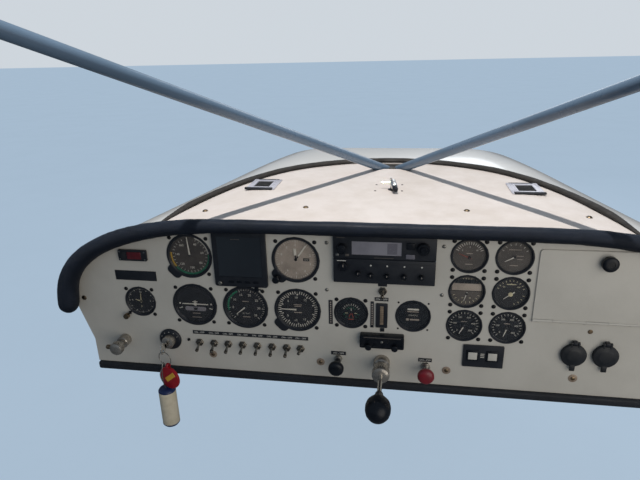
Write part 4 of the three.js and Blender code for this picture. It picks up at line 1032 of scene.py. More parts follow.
def ear(knob_front=None):
    """The bezel's ear at the lower left of a large dial, which can carry a setting knob."""
    wing = plate((-13.5, 13.5), (-48, -26), (-1.75, -0.1), 8, 0.5, bezel_black)
    turned_to(wing, ZERO, 45, "Y")
    cut(wing, rod(37.4, -9, 9, ZERO, bezel_black, steps=64))
    if knob_front is None:
        return [smooth(wing)]
    at = -LARGE["screw"]
    grip = turned([(5, knob_front), (6, knob_front + 0.9), (6, -3), (2.6, -2.5), (2.6, 5)], (at, 0, at),
                  knob_black, steps=24)
    cut(grip, grooves(at, at, 6.0, (knob_front - 2, knob_front + 5)))
    return [smooth(join([wing, grip]))]


cover_discs = []


def assemble(name, size, x, z, face, marks, lower_left=(), screw=3.5):
    """One instrument, moved to its place. What is at its lower left takes the place of that screw."""
    only(size["case"])
    bpy.ops.object.duplicate()
    case = bpy.context.object
    glass, at = size["glass"] - 0.1, size["screw"]
    dial = rod(glass, *DIAL_Y, ZERO, face, steps=64)
    screws = screws_at([(side * at, up * at) for side, up in CORNERS[:3 if lower_left else 4]], screw,
                       screw_black)
    whole = join([case, dial, *marks, screws, *lower_left])
    whole.location += spot(x, 0, z) - ZERO
    settle([whole], name + "_dressed", name, degrees=0)
    cover_discs.append(rod(glass, *GLASS_Y, (x, 0, z), cover_glass, steps=48))


# %% [markdown]
# The flight instruments: airspeed with its coloured speed ranges, altimeter with two hands, turn
# coordinator with its small aeroplane over the slip ball, tachometer, and climb indicator. Faces are
# a shade lighter than black; the airspeed's brown face and the altimeter's taupe face are painted
# reflection of their cover glass.

# %% Flight instruments
# Brown face: painted reflection of the cover glass.
assemble("airspeed_indicator", LARGE, -320.1, 89.8, dial_brown, [
    arc(19, 83, 31.4, 33.6, white), arc(86, 231, 31.2, 34.2, green), arc(232, 278, 31.4, 33.8, yellow),
    ticks(24, 336, 27, 27.2, 30.4, 0.6), *figures("40 60 80 100 120 140 160", 28, 49, 22.0, 5.6),
    needle(356, 33, 2.8, 2.0),
], ear())

# Taupe face: painted reflection of the cover glass.
assemble("altimeter", LARGE, -140.9, 89.8, taupe_print_and_painted_reflection, [
    ticks(0, 352.8, 50, 30.2, 33.2, 0.4), ticks(0, 324, 10, 28.6, 33.2, 0.9),
    *figures("0 1 2 3 4 5 6 7 8 9", 0, 36, 24.5, 6.0),
    patch(17, 0, 10, 5, dial_black), number("1013", 17, 0, 3.4, y=MARK_Y[0]),
    bar(357, 7.5, 19, 4.0, y=NEEDLE_Y), bar(35, 7.5, 29, 2.4, y=NEEDLE_Y),
    *[bar(angle, 0, 7.5, 1.8, dial_black, NEEDLE_Y) for angle in (357, 35)],
    dot(0, 0, 2.4, dial_black, NEEDLE_Y),
], ear(-14))

assemble("turn_coordinator", LARGE, -320.1, 0, dial_black, [
    patch(0, 0.4, 46, 1.8, white, NEEDLE_Y), dot(0, 0.4, 3.2, y=NEEDLE_Y),
    patch(0, 3.4, 1.6, 7, white, NEEDLE_Y), patch(0, 5, 9, 1.1, white, NEEDLE_Y),
    dot(-28, 0.4, 1.6), dot(28, 0.4, 1.6), bar(253, 25, 31, 1.6), bar(107, 25, 31, 1.6),
    plate((-19, 18), (-12.5, -5), (2.0, 3.3), 3, 0.2, screen_grey),
    *[patch(x, -8.7, 0.7, 8, dial_black, (1.8, 2.4)) for x in (-3.2, 3.2)],
    dot(0, -8.7, 2.9, screw_black, (1.7, 2.4)), patch(0, -18, 14, 1.1, taupe_print_and_painted_reflection),
    patch(0, -25.5, 17, 1.1, taupe_print_and_painted_reflection),
])

assemble("tachometer", LARGE, -230.5, 0, dial_black, [
    arc(255, 335, 29.4, 32.2, green), ticks(225, 495, 36, 29.8, 32.6, 0.45),
    ticks(225, 495, 8, 27.6, 32.6, 0.9),
    *figures("0 5 10 15 20 25 30 35", 225, 270 / 7, 22.5, 5.6),
    patch(0, -13, 17, 4.6, case_black), number("0 1 2 4 7", 0, -13, 3.6, y=MARK_Y[0]),
    patch(0, 9.5, 11, 1.3, taupe_print_and_painted_reflection), patch(0, -19.5, 13, 1.2, taupe_print_and_painted_reflection), needle(230, 22, 2.6, 2.4),
])

assemble("climb_indicator", LARGE, -140.9, 0, dial_black, [
    ticks(0, 352.8, 50, 28.2, 33.4, 1.2), ticks(0, 324, 10, 25.8, 33.4, 1.8),
    *figures("5 10 15", 312, 42, 21.5, 5.4), *figures("15 10 5", 150, 42, 21.5, 5.4),
    patch(0, 8.4, 14, 1.3, taupe_print_and_painted_reflection), patch(0, 5.6, 11, 1.3, taupe_print_and_painted_reflection), patch(0, -6, 13, 1.5, taupe_print_and_painted_reflection),
    needle(270, 29, 3.2, 2.6),
], ear())
print("flight instruments done")

# %% [markdown]
# The small instruments: clock, trim gauge, hour meter and six engine gauges. Most of the engine gauges
# have their pivot a little below the middle, as moving-coil gauges do.

# %% Clock, trim gauge and hour meter
CLOCK_KNOB = [(0, -11), (4.4, -11), (5, -10), (5, -4.6), (4, -3.4), (2, -2.4), (2, 4), (0, 4)]
clock_corner = -SMALL["screw"] - 3
assemble("clock", SMALL, -419.3, 0.8, dial_black, [
    ticks(0, 330, 12, 20.4, 23.2, 0.9), ticks(0, 354, 60, 22.2, 23.2, 0.3),
    *figures("9 12 3", -90, 90, 16.5, 4.6),
    dot(0, -11.5, 5.2, case_black), bar(180, 8.5, 11.5, 0.8, cream, NEEDLE_Y),
    needle(3, 14, 1.7, 1.6, tail=3, material=cream), needle(285, 10.5, 2.4, 2.0, tail=2, material=cream),
], [bar(225, 27, 38.5, 3.2, knob_black, (-5, -2)),
    turned(CLOCK_KNOB, (clock_corner, 0, clock_corner), brass, steps=24)])

assemble("trim_gauge", SMALL, -51.8, 0.1, knob_black, [
    ticks(-62, 62, 9, 12.2, 15.4, 0.7), ticks(-50, 50, 5, 7, 10.4, 0.7, green),
    ticks(110, 250, 6, 10.4, 13.6, 0.6, green), bar(160, 3, 10.5, 0.9, red), bar(200, 3, 10.5, 0.9, red),
    patch(0, -13.2, 8, 1.1, red), patch(0, 4.6, 1.0, 5, white), patch(-7.5, -2, 4.5, 0.9, cream),
    patch(7.5, -2, 4.5, 0.9, cream),
])

assemble("hour_meter", SMALL, 48.1, 0.1, knob_black, [
    patch(0, 10.6, 18, 2.8, white), patch(0, 6.4, 18, 1.6, taupe_print_and_painted_reflection),
    patch(0, -0.2, 19, 4.4, screw_black), number("0 0 4 7 2", 0, -0.2, 4.0, y=MARK_Y[0]),
    patch(2.6, -7.8, 15, 2.4, taupe_print_and_painted_reflection), patch(-8.6, -7.8, 4, 4, taupe_print_and_painted_reflection),
], screw=1.7)

# %% Engine gauges
WINDOW_Y = (3.0, 3.3)
# The grey faces of the first three engine gauges are painted reflection of their cover glass.
assemble("engine_gauge_1", SMALL, 128.5, 107.4, dial_grey, [
    ticks(-65, 65, 14, 17.4, 21.8, 0.9), *figures("2 6 10", -52, 52, 13.6, 3.6),
    patch(0, 3, 9, 1.2, taupe_print_and_painted_reflection), patch(0, -14.5, 11, 1.2, taupe_print_and_painted_reflection), needle(292, 17, 1.3, 2.6, 3, 3.5, red),
])
assemble("engine_gauge_2", SMALL, 194.2, 107.4, dial_grey, [
    ticks(-60, 60, 7, 18.4, 21.6, 0.6), patch(0, 11.4, 18, 1.0, taupe_print_and_painted_reflection), patch(8, 1.5, 10, 1.0, taupe_print_and_painted_reflection),
    patch(8, -4, 8, 1.0, taupe_print_and_painted_reflection), patch(0, -14, 12, 1.0, taupe_print_and_painted_reflection), needle(241, 16, 2.2, 1.8),
])
assemble("engine_gauge_3", SMALL, 128.5, 48.0, dial_grey, [
    patch(0, 6.5, 44, 12, taupe_print_and_painted_reflection), patch(0, 0, 46, 1.2, screw_black, WINDOW_Y),
    patch(0, 14.8, 36, 4.6, knob_black, WINDOW_Y), patch(0, 18.4, 25, 2.8, knob_black, WINDOW_Y),
    ticks(-62, 62, 12, 18.6, 22.0, 0.8, cream), ticks(112, 248, 9, 18.4, 22.0, 0.7, cream),
    *figures("10 20", 205, -50, 13.5, 3.4, cream), needle(196, 13, 1.7, 2.2, 3, 5),
])
assemble("engine_gauge_4", SMALL, 194.2, 48.0, dial_black, [
    ticks(-70, 70, 10, 18.8, 21.6, 0.7, cream), patch(0, 14, 14, 1.2, cream),
    *figures("60 80 100", -48, 48, 14.5, 3.4, cream), ticks(104, 160, 4, 18.8, 21.6, 0.7, cream),
    needle(232, 13, 2.0, 3.4, 7, 2.5, cap=cream),
])
for name, x, angle in (("engine_gauge_5", 128.5, 207), ("engine_gauge_6", 194.2, 197)):
    assemble(name, SMALL, x, -11.6, knob_black, [
        ticks(-135, 135, 21, 19.6, 22.4, 0.7), ticks(-135, 135, 6, 18.4, 22.4, 1.0),
        *figures("0 100 200 300 400 500", -135, 54, 14.4, 4.0), patch(0, 5.6, 9, 1.0, taupe_print_and_painted_reflection),
        needle(angle, 15, 2.1, 2.2, down=2.5),
    ])
for size in (LARGE, SMALL):
    bpy.data.objects.remove(size["case"])
print("small instruments done")

# %% [markdown]
# Cover glasses are one thin disc in each well. They are a piece of their own, because clear glass is
# a finish that nothing else here has.

# %% Cover glasses
covers = smooth(join(cover_discs))
covers.name = "instrument_glasses"
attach(covers, "root")

# %% [markdown]
# ## Display and radios
# The map display is a square black box whose screen lies in a recess: the box is a rounded plate, and
# the recess is cut with a second, smaller plate. The two radios fill the centre stack. Their faces are
# plain black with knobs in rows, and the upper one has a grey window and small buttons.

# %% Map display and the latch hook under its right corner
DISPLAY_X, DISPLAY_Z, DISPLAY_FRONT = (-277.4, -187.6), (40.4, 136.6), -6.0
SCREEN_X, SCREEN_Z = (-270, -195), (58, 128)


def knob_at(x, z, radius, front, base, material=knob_black, flutes=True):
    """A turned knob with a chamfered front and, if wanted, flutes."""
    grip = turned([(radius - 1, front), (radius, front + 1), (radius, base)], (x, 0, z), material)
    if flutes:
        cut(grip, grooves(x, z, radius, (front - 2, front + 5)))
    return grip


def map_display():
    front, centre = DISPLAY_FRONT, (sum(DISPLAY_X) / 2, 0, sum(DISPLAY_Z) / 2)
    body = plate(DISPLAY_X, DISPLAY_Z, (front, -0.3), 4, 1.0, bezel_black)
    cut(body, plate(SCREEN_X, SCREEN_Z, (front - 2, front + 1.6), 2, 0.2, bezel_black))
    return [
        body,
        block((SCREEN_X[0] + 0.1, front + 1.2, SCREEN_Z[0] + 0.1),
              (SCREEN_X[1] - 0.1, front + 1.7, SCREEN_Z[1] - 0.1), 0, screen_dark),
        turned([(37.4, -1), (37.4, 61), (36.4, 62)], centre, case_black, steps=48),
        patch(-238, 123.5, 15, 1.0, dial_grey, (front + 1.0, front + 1.3)),
        *[patch(-249.3 + 14 * k, 49.4, 9.4, 4, knob_black, (front - 0.7, front + 1), 0.5, 2)
          for k in range(4)],
        knob_at(-268.6, 46.4, 3.4, front - 2.4, front + 1, worn_steel, False),
    ]


settle(map_display(), "map_display_dressed", "map_display")
settle([block((-210, -8.5, 34.5), (-203, -6.5, 42), 0.8, knob_black),
        block((-214, -7.8, 36), (-199, -5.9, 38.6), 0.9, knob_black)], "display_latch")

# %% Radios
RADIO_HALF, RADIO_FRONT = 79.0, -7.0
RADIO_MARK = (RADIO_FRONT - 0.2, RADIO_FRONT + 0.2)
LOWER_KNOBS = [(-62.7, 86, 6.9), (-39.6, 75, 4.2), (-20, 72.5, 4.2), (5.3, 72, 4.2), (31.8, 72, 4.2),
               (58.3, 72, 4.2)]


def radio_body(low, high, depth):
    """The face with its soft edges and the sheet-metal body behind, with a ribbed rear."""
    middle = (low + high) / 2
    rib = block((-60, 20, high - 1.2), (-58, depth - 20, high - 0.3), 0.2, sheet_metal, 1)
    return [
        block((-RADIO_HALF, RADIO_FRONT, low), (RADIO_HALF, 4, high), 1.2, bezel_black),
        block((-RADIO_HALF + 0.6, 3.5, low + 0.6), (RADIO_HALF - 0.6, depth - 6, high - 0.6), 1.0,
              sheet_metal, 2),
        block((-RADIO_HALF + 2, depth - 6.5, low + 2), (RADIO_HALF - 2, depth, high - 2), 0.8, case_black, 2),
        *[patch(x, middle, 34, 12, worn_steel, (depth - 9, depth - 0.1), 1.2, 2) for x in (-40, 20)],
        repeat(rib, [(20 * k, 0, 0) for k in range(1, 6)]),
    ]


def radio_upper():
    parts, front = radio_body(98.7, 137.0, 225), RADIO_FRONT
    cut(parts[0], block((-50, front - 3, 105.4), (27, front + 1.5, 127.8), 0.8, bezel_black))
    return parts + [
        block((-49.8, front + 1.1, 105.6), (26.8, front + 1.8, 127.6), 0, screen_grey),
        # Painted shade: a darker patch across the middle of the display window.
        patch(12.5, 116.6, 15, 18, screen_shade, (front + 0.9, front + 1.2)),
        knob_at(-65, 117, 7.5, front - 12, front + 0.5), knob_at(-65, 117, 4.6, front - 13, front - 10),
        knob_at(59.4, 120, 9.3, front - 10, front + 0.5), knob_at(59.4, 120, 5.4, front - 13, front - 8),
        patch(40.5, 122.5, 13, 11, knob_black, (front - 1.6, front + 1), 1.0),
        patch(40, 105.25, 14, 7.5, screen_shade, (front - 1.4, front + 1), 1.0),
        patch(-72.5, 105, 5, 4, worn_steel, (front - 1.0, front + 1), 0.6, 2),
        patch(-57, 105, 6, 4, dial_grey, (front - 1.0, front + 1), 0.6, 2),
        patch(-67, 133.5, 13, 1.2, dial_grey, RADIO_MARK), patch(0, 101.6, 30, 1.0, dial_grey, RADIO_MARK),
    ]


def radio_lower():
    parts, front = radio_body(57.5, 98.3, 205), RADIO_FRONT
    for x, z, radius in LOWER_KNOBS:
        parts.append(knob_at(x, z, radius, front - 8, front + 0.5, flutes=False))
        parts.append(patch(x, z + radius * 0.5, 0.8, radius * 0.6, taupe_print_and_painted_reflection, (front - 8.2, front - 7.8)))
    parts += [dot(x, 88.5, 1.3, y=(front - 0.3, front + 0.3)) for x, z, radius in LOWER_KNOBS[2:]]
    return parts + [patch(-66, 95, 14, 1.2, white, RADIO_MARK),
                    patch(30, 92.5, 82, 0.8, case_black, RADIO_MARK)]


settle(radio_upper(), "radio_upper_dressed", "radio_upper")
settle(radio_lower(), "radio_lower_dressed", "radio_lower")
rack_screws = screws_at([(-90, 121.5), (90, 121.5), (-91, 40), (91, 40)], 3.2, worn_steel)
settle([rack_screws], "rack_screws", degrees=0)
print("display and radios done")

# %% [markdown]
# ## Small boxed units
# Warning light, trim indicator, intercom and the two-button plate are shallow boxes with a neck that
# goes through the panel. The face is always the same rounded plate, so one helper makes face and neck.


# %% Face and neck, and the warning light
def boxed(x, z, front, inset, depth, corner=1.5, material=bezel_black):
    up = sum(z) / 2
    return [
        plate(x, z, (front, -0.3), corner, 0.5, material),
        block((x[0] + inset, -1, z[0] + inset), (x[1] - inset, depth, z[1] - inset), 0.8, case_black, 2),
        *[patch(at, up, 4, 3.2, brass, (depth - 1, depth + 4), 0.3, 1)
          for at in (x[0] + inset + 3, x[1] - inset - 3)],
    ]


def warning_light():
    x, z, front = (-444.4, -394.2), (78.8, 98.2), -5.0
    return boxed(x, z, front, 4, 20) + [
        block((x[0] + 16, front - 1.6, z[0] + 3.5), (x[1] - 9, front + 0.6, z[1] - 3), 1.0, lamp_red),
        block((x[0] + 5, front - 0.6, z[0] + 4), (x[0] + 13.5, front + 0.4, z[1] - 4), 0.6, case_black, 2),
        *[dot(at_x, at_z, 1.5, worn_steel, (front - 0.6, front + 0.2))
          for at_x in (x[0] + 3, x[1] - 3) for at_z in (z[0] + 3, z[1] - 3)],
    ]


settle(warning_light(), "warning_light_dressed", "warning_light")

# %% Bare labels: middle x, middle z, width and height of each
SWITCH_X = (-318.6, -292.1, -266.6, -240.6, -214.2, -188.1, -162.4, -138.3)
LABELS = [(-420.6, 50.1, 74.8, 17.9), (-227, -53.2, 205, 6.8), (-1.4, 53.8, 14.2, 6.6), (-2.5, 27.8, 22, 6.4),
          (-17.3, -0.5, 5.5, 47.5), (-85.2, 0, 6.6, 44), (-0.7, -27.6, 7, 6.4), (-73.1, -77, 25.3, 6.8),
          (70.6, -79.6, 22.2, 6.8)]
LABEL_TEXT_AT = [(x + 1, -53.2) for x in SWITCH_X] + [(-2.5, 27.8), (-73.1, -77), (70.6, -79.6)]
labels = [patch(x, z, wide, high, bezel_black, (-0.8, -0.05), 0.3, 2) for x, z, wide, high in LABELS]
labels += [number("ON - OFF", x, z, 4.4, y=-0.8) for x, z in LABEL_TEXT_AT]
labels += [patch(x, -18 + 4 * k, 2.0, 2.2, taupe_print_and_painted_reflection, (-0.95, -0.7)) for x in (-85.2, -17.3) for k in range(10)]
settle(labels, "bare_labels")


# %% Trim indicator, intercom and two-button plate
def trim_indicator():
    """A slot with a light bar of ten cells in it."""
    front = -3.0
    parts = boxed((-11.2, 7.6), (-22.7, 20.9), front, 3, 25)
    cut(parts[0], block((-5.4, front - 2, -18), (1.8, front + 1.2, 16.5), 0.4, bezel_black, 2))
    cell = block((-4.6, front + 0.2, -17), (1.0, front + 1.4, -14.2), 0.3, bar_lit, 2)
    return parts + [repeat(cell, [(0, 0, 3.4 * k) for k in range(1, 10)])]


def intercom():
    x, z, front = (-36.6, 35.3), (-56, -33.4), -13.0
    parts = boxed(x, z, front, 6, 40, 2.5, knob_black)
    cut(parts[0], block((x[0] + 3, front - 2, z[0] + 3), (x[1] - 3, front + 0.8, z[1] - 5), 1, knob_black))
    return parts + [
        *[knob_at(at, -52.4, 5.4, front - 6, front + 1.2) for at in (-22.2, 20.3)],
        knob_at(-0.6, -44, 2.2, front - 1, front + 1.2, worn_steel, False),
        patch(0, -36, 60, 1.6, dial_grey, (front - 0.2, front + 0.3)),
    ]


def button_plate():
    front = -3.0
    parts = boxed((130, 193.5), (-85, -44.8), front, 6, 30)
    for x in (145.0, 175.8):
        parts.append(patch(x, -63.5, 20, 20, knob_black, (front - 1.2, front + 1), 0.8))
        parts.append(patch(x, -63.5, 14, 13, panel_paint, (front - 2.5, front - 1), 0.7))
    return parts + [patch(160.4, z, 6, 1.4, panel_paint, (front - 0.2, front + 0.3)) for z in (-60, -63, -66)]


settle(trim_indicator(), "flap_indicator_dressed", "flap_indicator")
settle(intercom(), "intercom_dressed", "intercom_box")
settle(button_plate(), "button_plate_dressed", "button_plate")
print("boxed units done")

# %% [markdown]
# ## Toggle switches
# A toggle switch has a hexagon nut, a threaded bush and a tapered lever with a darker tip. The lever
# is spun round its own slanting line, so up and down only differ in that line.

# %% Toggle switches
SWITCH_Z = -73.0
LEVER_DOWN, LEVER_UP, CENTRE_LEVER = 0.45, -0.1, 0.15


def hexagon(x, z, across, front, material):
    """A hexagon nut: a turned body of six steps with its corners chamfered."""
    corner = across / 2 / math.cos(math.pi / 6)
    return turned([(corner * 0.88, front), (corner, front + 0.5), (corner, -0.3)], (x, 0, z), material,
                  steps=6)


def toggle(x, z, drop):
    lever = Vector((0, -math.cos(drop), -math.sin(drop)))
    bush = [(4.2, -6), (4.7, -5.4)]
    for k in range(5):
        bush += [(5.0, -5.1 + k), (4.6, -4.7 + k)]
    stick = [(1.7, 0), (1.9, 6), (2.9, 14), (2.7, 16), (1.6, 17), (0, 17.2)]
    tip = [(2.85, 12.5), (3.0, 14), (2.8, 16.1), (1.7, 17.2), (0, 17.4)]
    return [
        hexagon(x, z, 12.6, -3, switch_metal), turned(bush + [(4.8, 3.8)], (x, 0, z), switch_metal, steps=20),
        turned(stick, (x, -4, z), worn_steel, lever, 16), turned(tip, (x, -4, z), switch_metal, lever, 16),
        patch(x, z, 13, 26, case_black, (PANEL_BACK, 26.8), 0.8, 2),
        *[patch(x, z + at, 1.2, 4, brass, (26, 31), 0.2, 1) for at in (-8, 0, 8)],
    ]


row = [part for x in SWITCH_X for part in toggle(x, SWITCH_Z, LEVER_UP if x == SWITCH_X[-1] else LEVER_DOWN)]
bus = block((SWITCH_X[0], 26, SWITCH_Z - 4), (SWITCH_X[-1], 29, SWITCH_Z + 4), 0.3, brass, 1)
settle(row + [bus], "toggle_row", "toggle_switches")
settle(toggle(-1.1, 42.6, CENTRE_LEVER), "centre_toggle_dressed", "centre_toggle")

# %% Panel screws on their washers, pilot light, plug and a dark screw
PANEL_SCREWS = [(-296.5, -96.0), (-104.2, -96.8), (105.8, -96.8), (302.5, -95.5)]
WASHER = [(2, -0.9), (6.2, -0.9), (7, -0.5), (7, -0.05), (2, -0.05), (2, -0.9)]
washers = [turned(WASHER, (x, 0, z), tan_alloy, steps=28) for x, z in PANEL_SCREWS]
heads = screws_at(PANEL_SCREWS, 3.8, brass)
heads.location.y -= 0.4 * MM
settle(washers + [baked(heads)], "panel_screws")
settle([
    turned([(0, -4), (1.4, -3.7), (2.0, -3), (2.4, -2.2), (2.6, -0.05)], (-338.5, 0, -69), knob_black),
    turned([(0, -1.6), (3.2, -1.4), (4.5, -0.5), (4.5, -0.05)], (-525.9, 0, 2.2), brass),
    turned([(0, -1.4), (2.8, -1.2), (3.7, -0.5), (3.7, -0.05)], (316.6, 0, -10.3), brass),
], "small_panel_fittings")
print("switches done")

# %% [markdown]
# ## Push-pull controls
# Throttle, carburettor heat, mixture and primer all pull out of the panel along their own line, so
# each is a few half sections spun round it. The knurls of the throttle's lock ring and of the primer
# are thin bars, spun round and cut out in one go.

# %% Throttle
def knurled(profile, centre, radius, y, count):
    """A satin body with knurls where it is this wide."""
    body = turned(profile, centre, satin_alloy, steps=48)
    return cut(body, grooves(centre[0], centre[2], radius, y, count, 0.9, 0.6, 2, satin_alloy))


def throttle():
    at = (-0.3, 0, -88.7)
    return [
        turned([(11, 20), (11, -0.3), (13.6, -0.3), (13.6, -12.6), (12.6, -14), (10.9, -15.6), (10.5, -18),
                (10.5, -28)], at, satin_alloy, steps=48),
        knurled([(11, -27), (13.4, -28.2), (14.2, -29.4), (14.2, -40.8), (13.2, -42), (8, -43.4),
                 (4.6, -43.8)], at, 14.2, (-39.5, -31), 24),
        turned([(5, 60), (5, 19), (3.5, 19), (3.5, -90)], at, chrome),
        turned([(5.2, -86), (6, -88), (6.6, -92), (9.6, -100), (14.6, -108), (17.9, -114), (19, -120),
                (18.8, -128), (17.4, -134), (14.2, -139.6), (9.6, -143.6), (4.6, -145.6), (0, -146)], at,
               knob_black, steps=48),
        turned([(3.4, 59), (3.4, 61), (2.4, 62), (2.4, 66)], at, worn_steel, steps=20),
    ]


settle(throttle(), "throttle_dressed", "throttle", degrees=40)

# %% Mixture and carburettor heat
MIXTURE_KNOB = [(4.6, -18), (5.6, -20), (8.8, -22), (12.2, -25), (13.4, -28), (13.4, -31.4), (12.2, -34),
                (9, -36), (4.5, -36.8), (0, -37)]
HEAT_KNOB = [(5.6, -17), (6.4, -19), (8.6, -23), (11.6, -26), (12.8, -28.6), (12.8, -33), (11.4, -35.6),
             (8, -37.2), (4, -37.9), (0, -38)]


def push_pull(x, z, across, knob, material, shaft, stem_material):
    front, at = -5.4, (x, 0, z)
    return [
        hexagon(x, z, across, front, worn_steel),
        turned([(5, 20), (6, 18), (6, -0.2), (shaft + 0.8, -0.3), (shaft + 0.8, front - 1.6),
                (shaft, front - 2)], at, worn_steel, steps=24),
        turned([(0, 19), (3, 20), (3, 50)], at, worn_steel, steps=20),
        rod(shaft, 5, -20, at, stem_material, steps=24), turned(knob, at, material, steps=48),
    ]


settle(push_pull(71.5, -91.2, 13.6, MIXTURE_KNOB, knob_red, 4, chrome), "mixture_dressed",
       "mixture_control", degrees=40)
settle(push_pull(-73.8, -87.6, 12.2, HEAT_KNOB, knob_black, 5, knob_black), "carb_heat_dressed",
       "carb_heat_control", degrees=40)


# %% Primer, with its locking tip
def primer():
    x, z = -458.7, -76.1
    body = [(6, 80), (6, 44), (9, 40), (9, -0.3), (10.4, -0.3), (10.4, -14.6), (9.4, -16), (5.4, -17),
            (5, -18), (5, -23), (7.4, -24.4), (10.6, -26), (11.8, -28.4), (11.8, -35), (10.8, -37.6),
            (8, -39.4), (4, -40)]
    tip = [(2.8, -20), (3.8, -18.8), (4, -16), (4, -12), (3, -10.6), (3, -4)]
    return [knurled(body, (x, 0, z), 11.8, (-35.5, -28), 18),
            turned(tip, (x, -31.5, z + 1), brass, AXIS_X, 24)]


settle(primer(), "primer_dressed", "primer")
print("controls done")

# %% [markdown]
# ## Ignition switch and keys
# The lock has a black escutcheon with a fan of marks for its positions and a bright barrel. The key's
# bow stands upright in it, and a split ring carries a red tag and a float, so that the keys can be
# fished out of the water.

# %% Lock
LOCK_X, LOCK_Z, LOCK_FAN = -372.5, -70.2, 15.6


def ignition_lock():
    at = (LOCK_X, 0, LOCK_Z)
    barrel = turned([(11, -4), (11, -14.4), (10.2, -16.4), (9, -17), (3.6, -17), (3.2, -16.4)], at,
                    satin_alloy, steps=40)
    cut(barrel, patch(LOCK_X, LOCK_Z, 3.2, 8.8, worn_steel, (-20, -6)))
    return [
        turned([(13, 3), (13, -0.3), (20, -0.3), (20, -2), (19.2, -3.4), (17.4, -4.4), (13.4, -5),
                (11, -5.4)], at, bezel_black, steps=56),
        barrel, turned([(13, 33), (14, 32), (14, -0.2)], at, case_black),
        *[dot(LOCK_X + LOCK_FAN * math.sin(turn), LOCK_Z + LOCK_FAN * math.cos(turn), 0.7,
              y=(-4.9, -3), steps=10) for turn in (-1.1, -0.55, 0, 0.55, 1.1)],
        *[dot(LOCK_X + x, LOCK_Z + z, 1.6, brass, (32, 38), 10) for z in (5, -5) for x in (-7, 7)],
    ]


settle(ignition_lock(), "ignition_lock", "ignition_switch")

# %% Key and split ring
KEY_HOLE_Y, KEY_HOLE_DOWN, BOW_Y = -36.0, 3.6, -33.5
RING_TURN, RING_RADIUS, RING_ASIDE, RING_PASS_Z = -0.3, 13.0, 3.0, -75.2
RING_WIRE, RING_SHIFT = 0.48, 0.42
RING_ALONG = Vector((math.cos(RING_TURN), math.sin(RING_TURN), 0))
RING_MIDDLE = (spot(LOCK_X, KEY_HOLE_Y, RING_PASS_Z - math.sqrt(RING_RADIUS ** 2 - RING_ASIDE ** 2))
               + RING_ALONG * RING_ASIDE * MM)


def key():
    bow = turned([(9.3, -1), (10, -0.4), (10, 0.4), (9.3, 1)], (LOCK_X, BOW_Y, LOCK_Z), chrome, AXIS_X, 36)
    cut(bow, rod(3.2, -5, 5, (LOCK_X, KEY_HOLE_Y, LOCK_Z - KEY_HOLE_DOWN), chrome, AXIS_X, 24))
    blade = patch(LOCK_X, LOCK_Z, 2, 7, chrome, (BOW_Y + 7.5, -7), 0.2, 1)
    notch = block((LOCK_X - 3, -24, LOCK_Z + 2.4), (LOCK_X + 3, -22.6, LOCK_Z + 6), 0, chrome)
    cut(blade, repeat(notch, [(0, 3.2, 0)]))
    return [bow, blade, patch(LOCK_X, LOCK_Z, 2, 10, chrome, (BOW_Y + 6.5, BOW_Y + 12.5), 0.4, 2)]


def wire_ring(place, heading, radius, wire, steps, wire_steps):
    deselect_all()
    bpy.ops.mesh.primitive_torus_add(
        location=place, rotation=(math.pi / 2, 0, heading), major_segments=steps, minor_segments=wire_steps,
        major_radius=radius * MM, minor_radius=wire * MM)
    return painted(bpy.context.object, worn_steel)


def split_ring():
    """Two turns, each moved a little along the ring's axis."""
    across = Vector((math.sin(RING_TURN), -math.cos(RING_TURN), 0))
    return [wire_ring(RING_MIDDLE + across * shift * MM, RING_TURN, RING_RADIUS, RING_WIRE, 56, 10)
            for shift in (-RING_SHIFT, RING_SHIFT)]


settle(key(), "key", "ignition_key", degrees=25)
settle(split_ring(), "split_ring", "key_ring", degrees=60)

# %% Tag with its bare label, and float on its wire bail
TAG_ANGLE, TAG_DROP, TAG_RADIUS = 0.42, 24.5, 21.0
FLOAT_ANGLE, FLOAT_LENGTH, BAIL_ACROSS, BAIL_UP, BAIL_WIRE = -0.5, 78.0, 6.0, 26.7, 0.8


def on_ring(angle, radius):
    """A point of the ring, at an angle from its lowest point."""
    return RING_MIDDLE + (RING_ALONG * math.sin(angle) - AXIS_Z * math.cos(angle)) * radius * MM


def key_tag():
    """Made facing the pilot at the zero spot, then turned with the ring and hung on it."""
    rim = TAG_RADIUS - 0.4
    disc = turned([(rim - 1, -2.5), (rim, -2), (TAG_RADIUS, -1), (TAG_RADIUS, 1), (rim, 2), (rim - 1, 2.5)],
                  ZERO, tag_red, steps=48)
    eye = turned([(2.5, -2.4), (4, -2.4), (4.4, -2), (4.4, 2), (4, 2.4), (2.5, 2.4), (2.5, -2.4)],
                 (0, 0, TAG_DROP), tag_red, AXIS_X, 24)
    label = turned_to(patch(0, 0, 25, 8.4, label_yellow, (-3.0, -2.3), 0.3, 1), spot(3.5, 0, 3), -40, "Y")
    edge = arc(228, 312, TAG_RADIUS - 3.2, TAG_RADIUS - 1, chrome)
    edge.location.y -= (MARK_Y[1] + 2.4) * MM
    place = on_ring(TAG_ANGLE, RING_RADIUS) - AXIS_Z * TAG_DROP * MM
    return [turned_to(join([disc, eye, label, edge]), place, math.degrees(RING_TURN), "Z")]


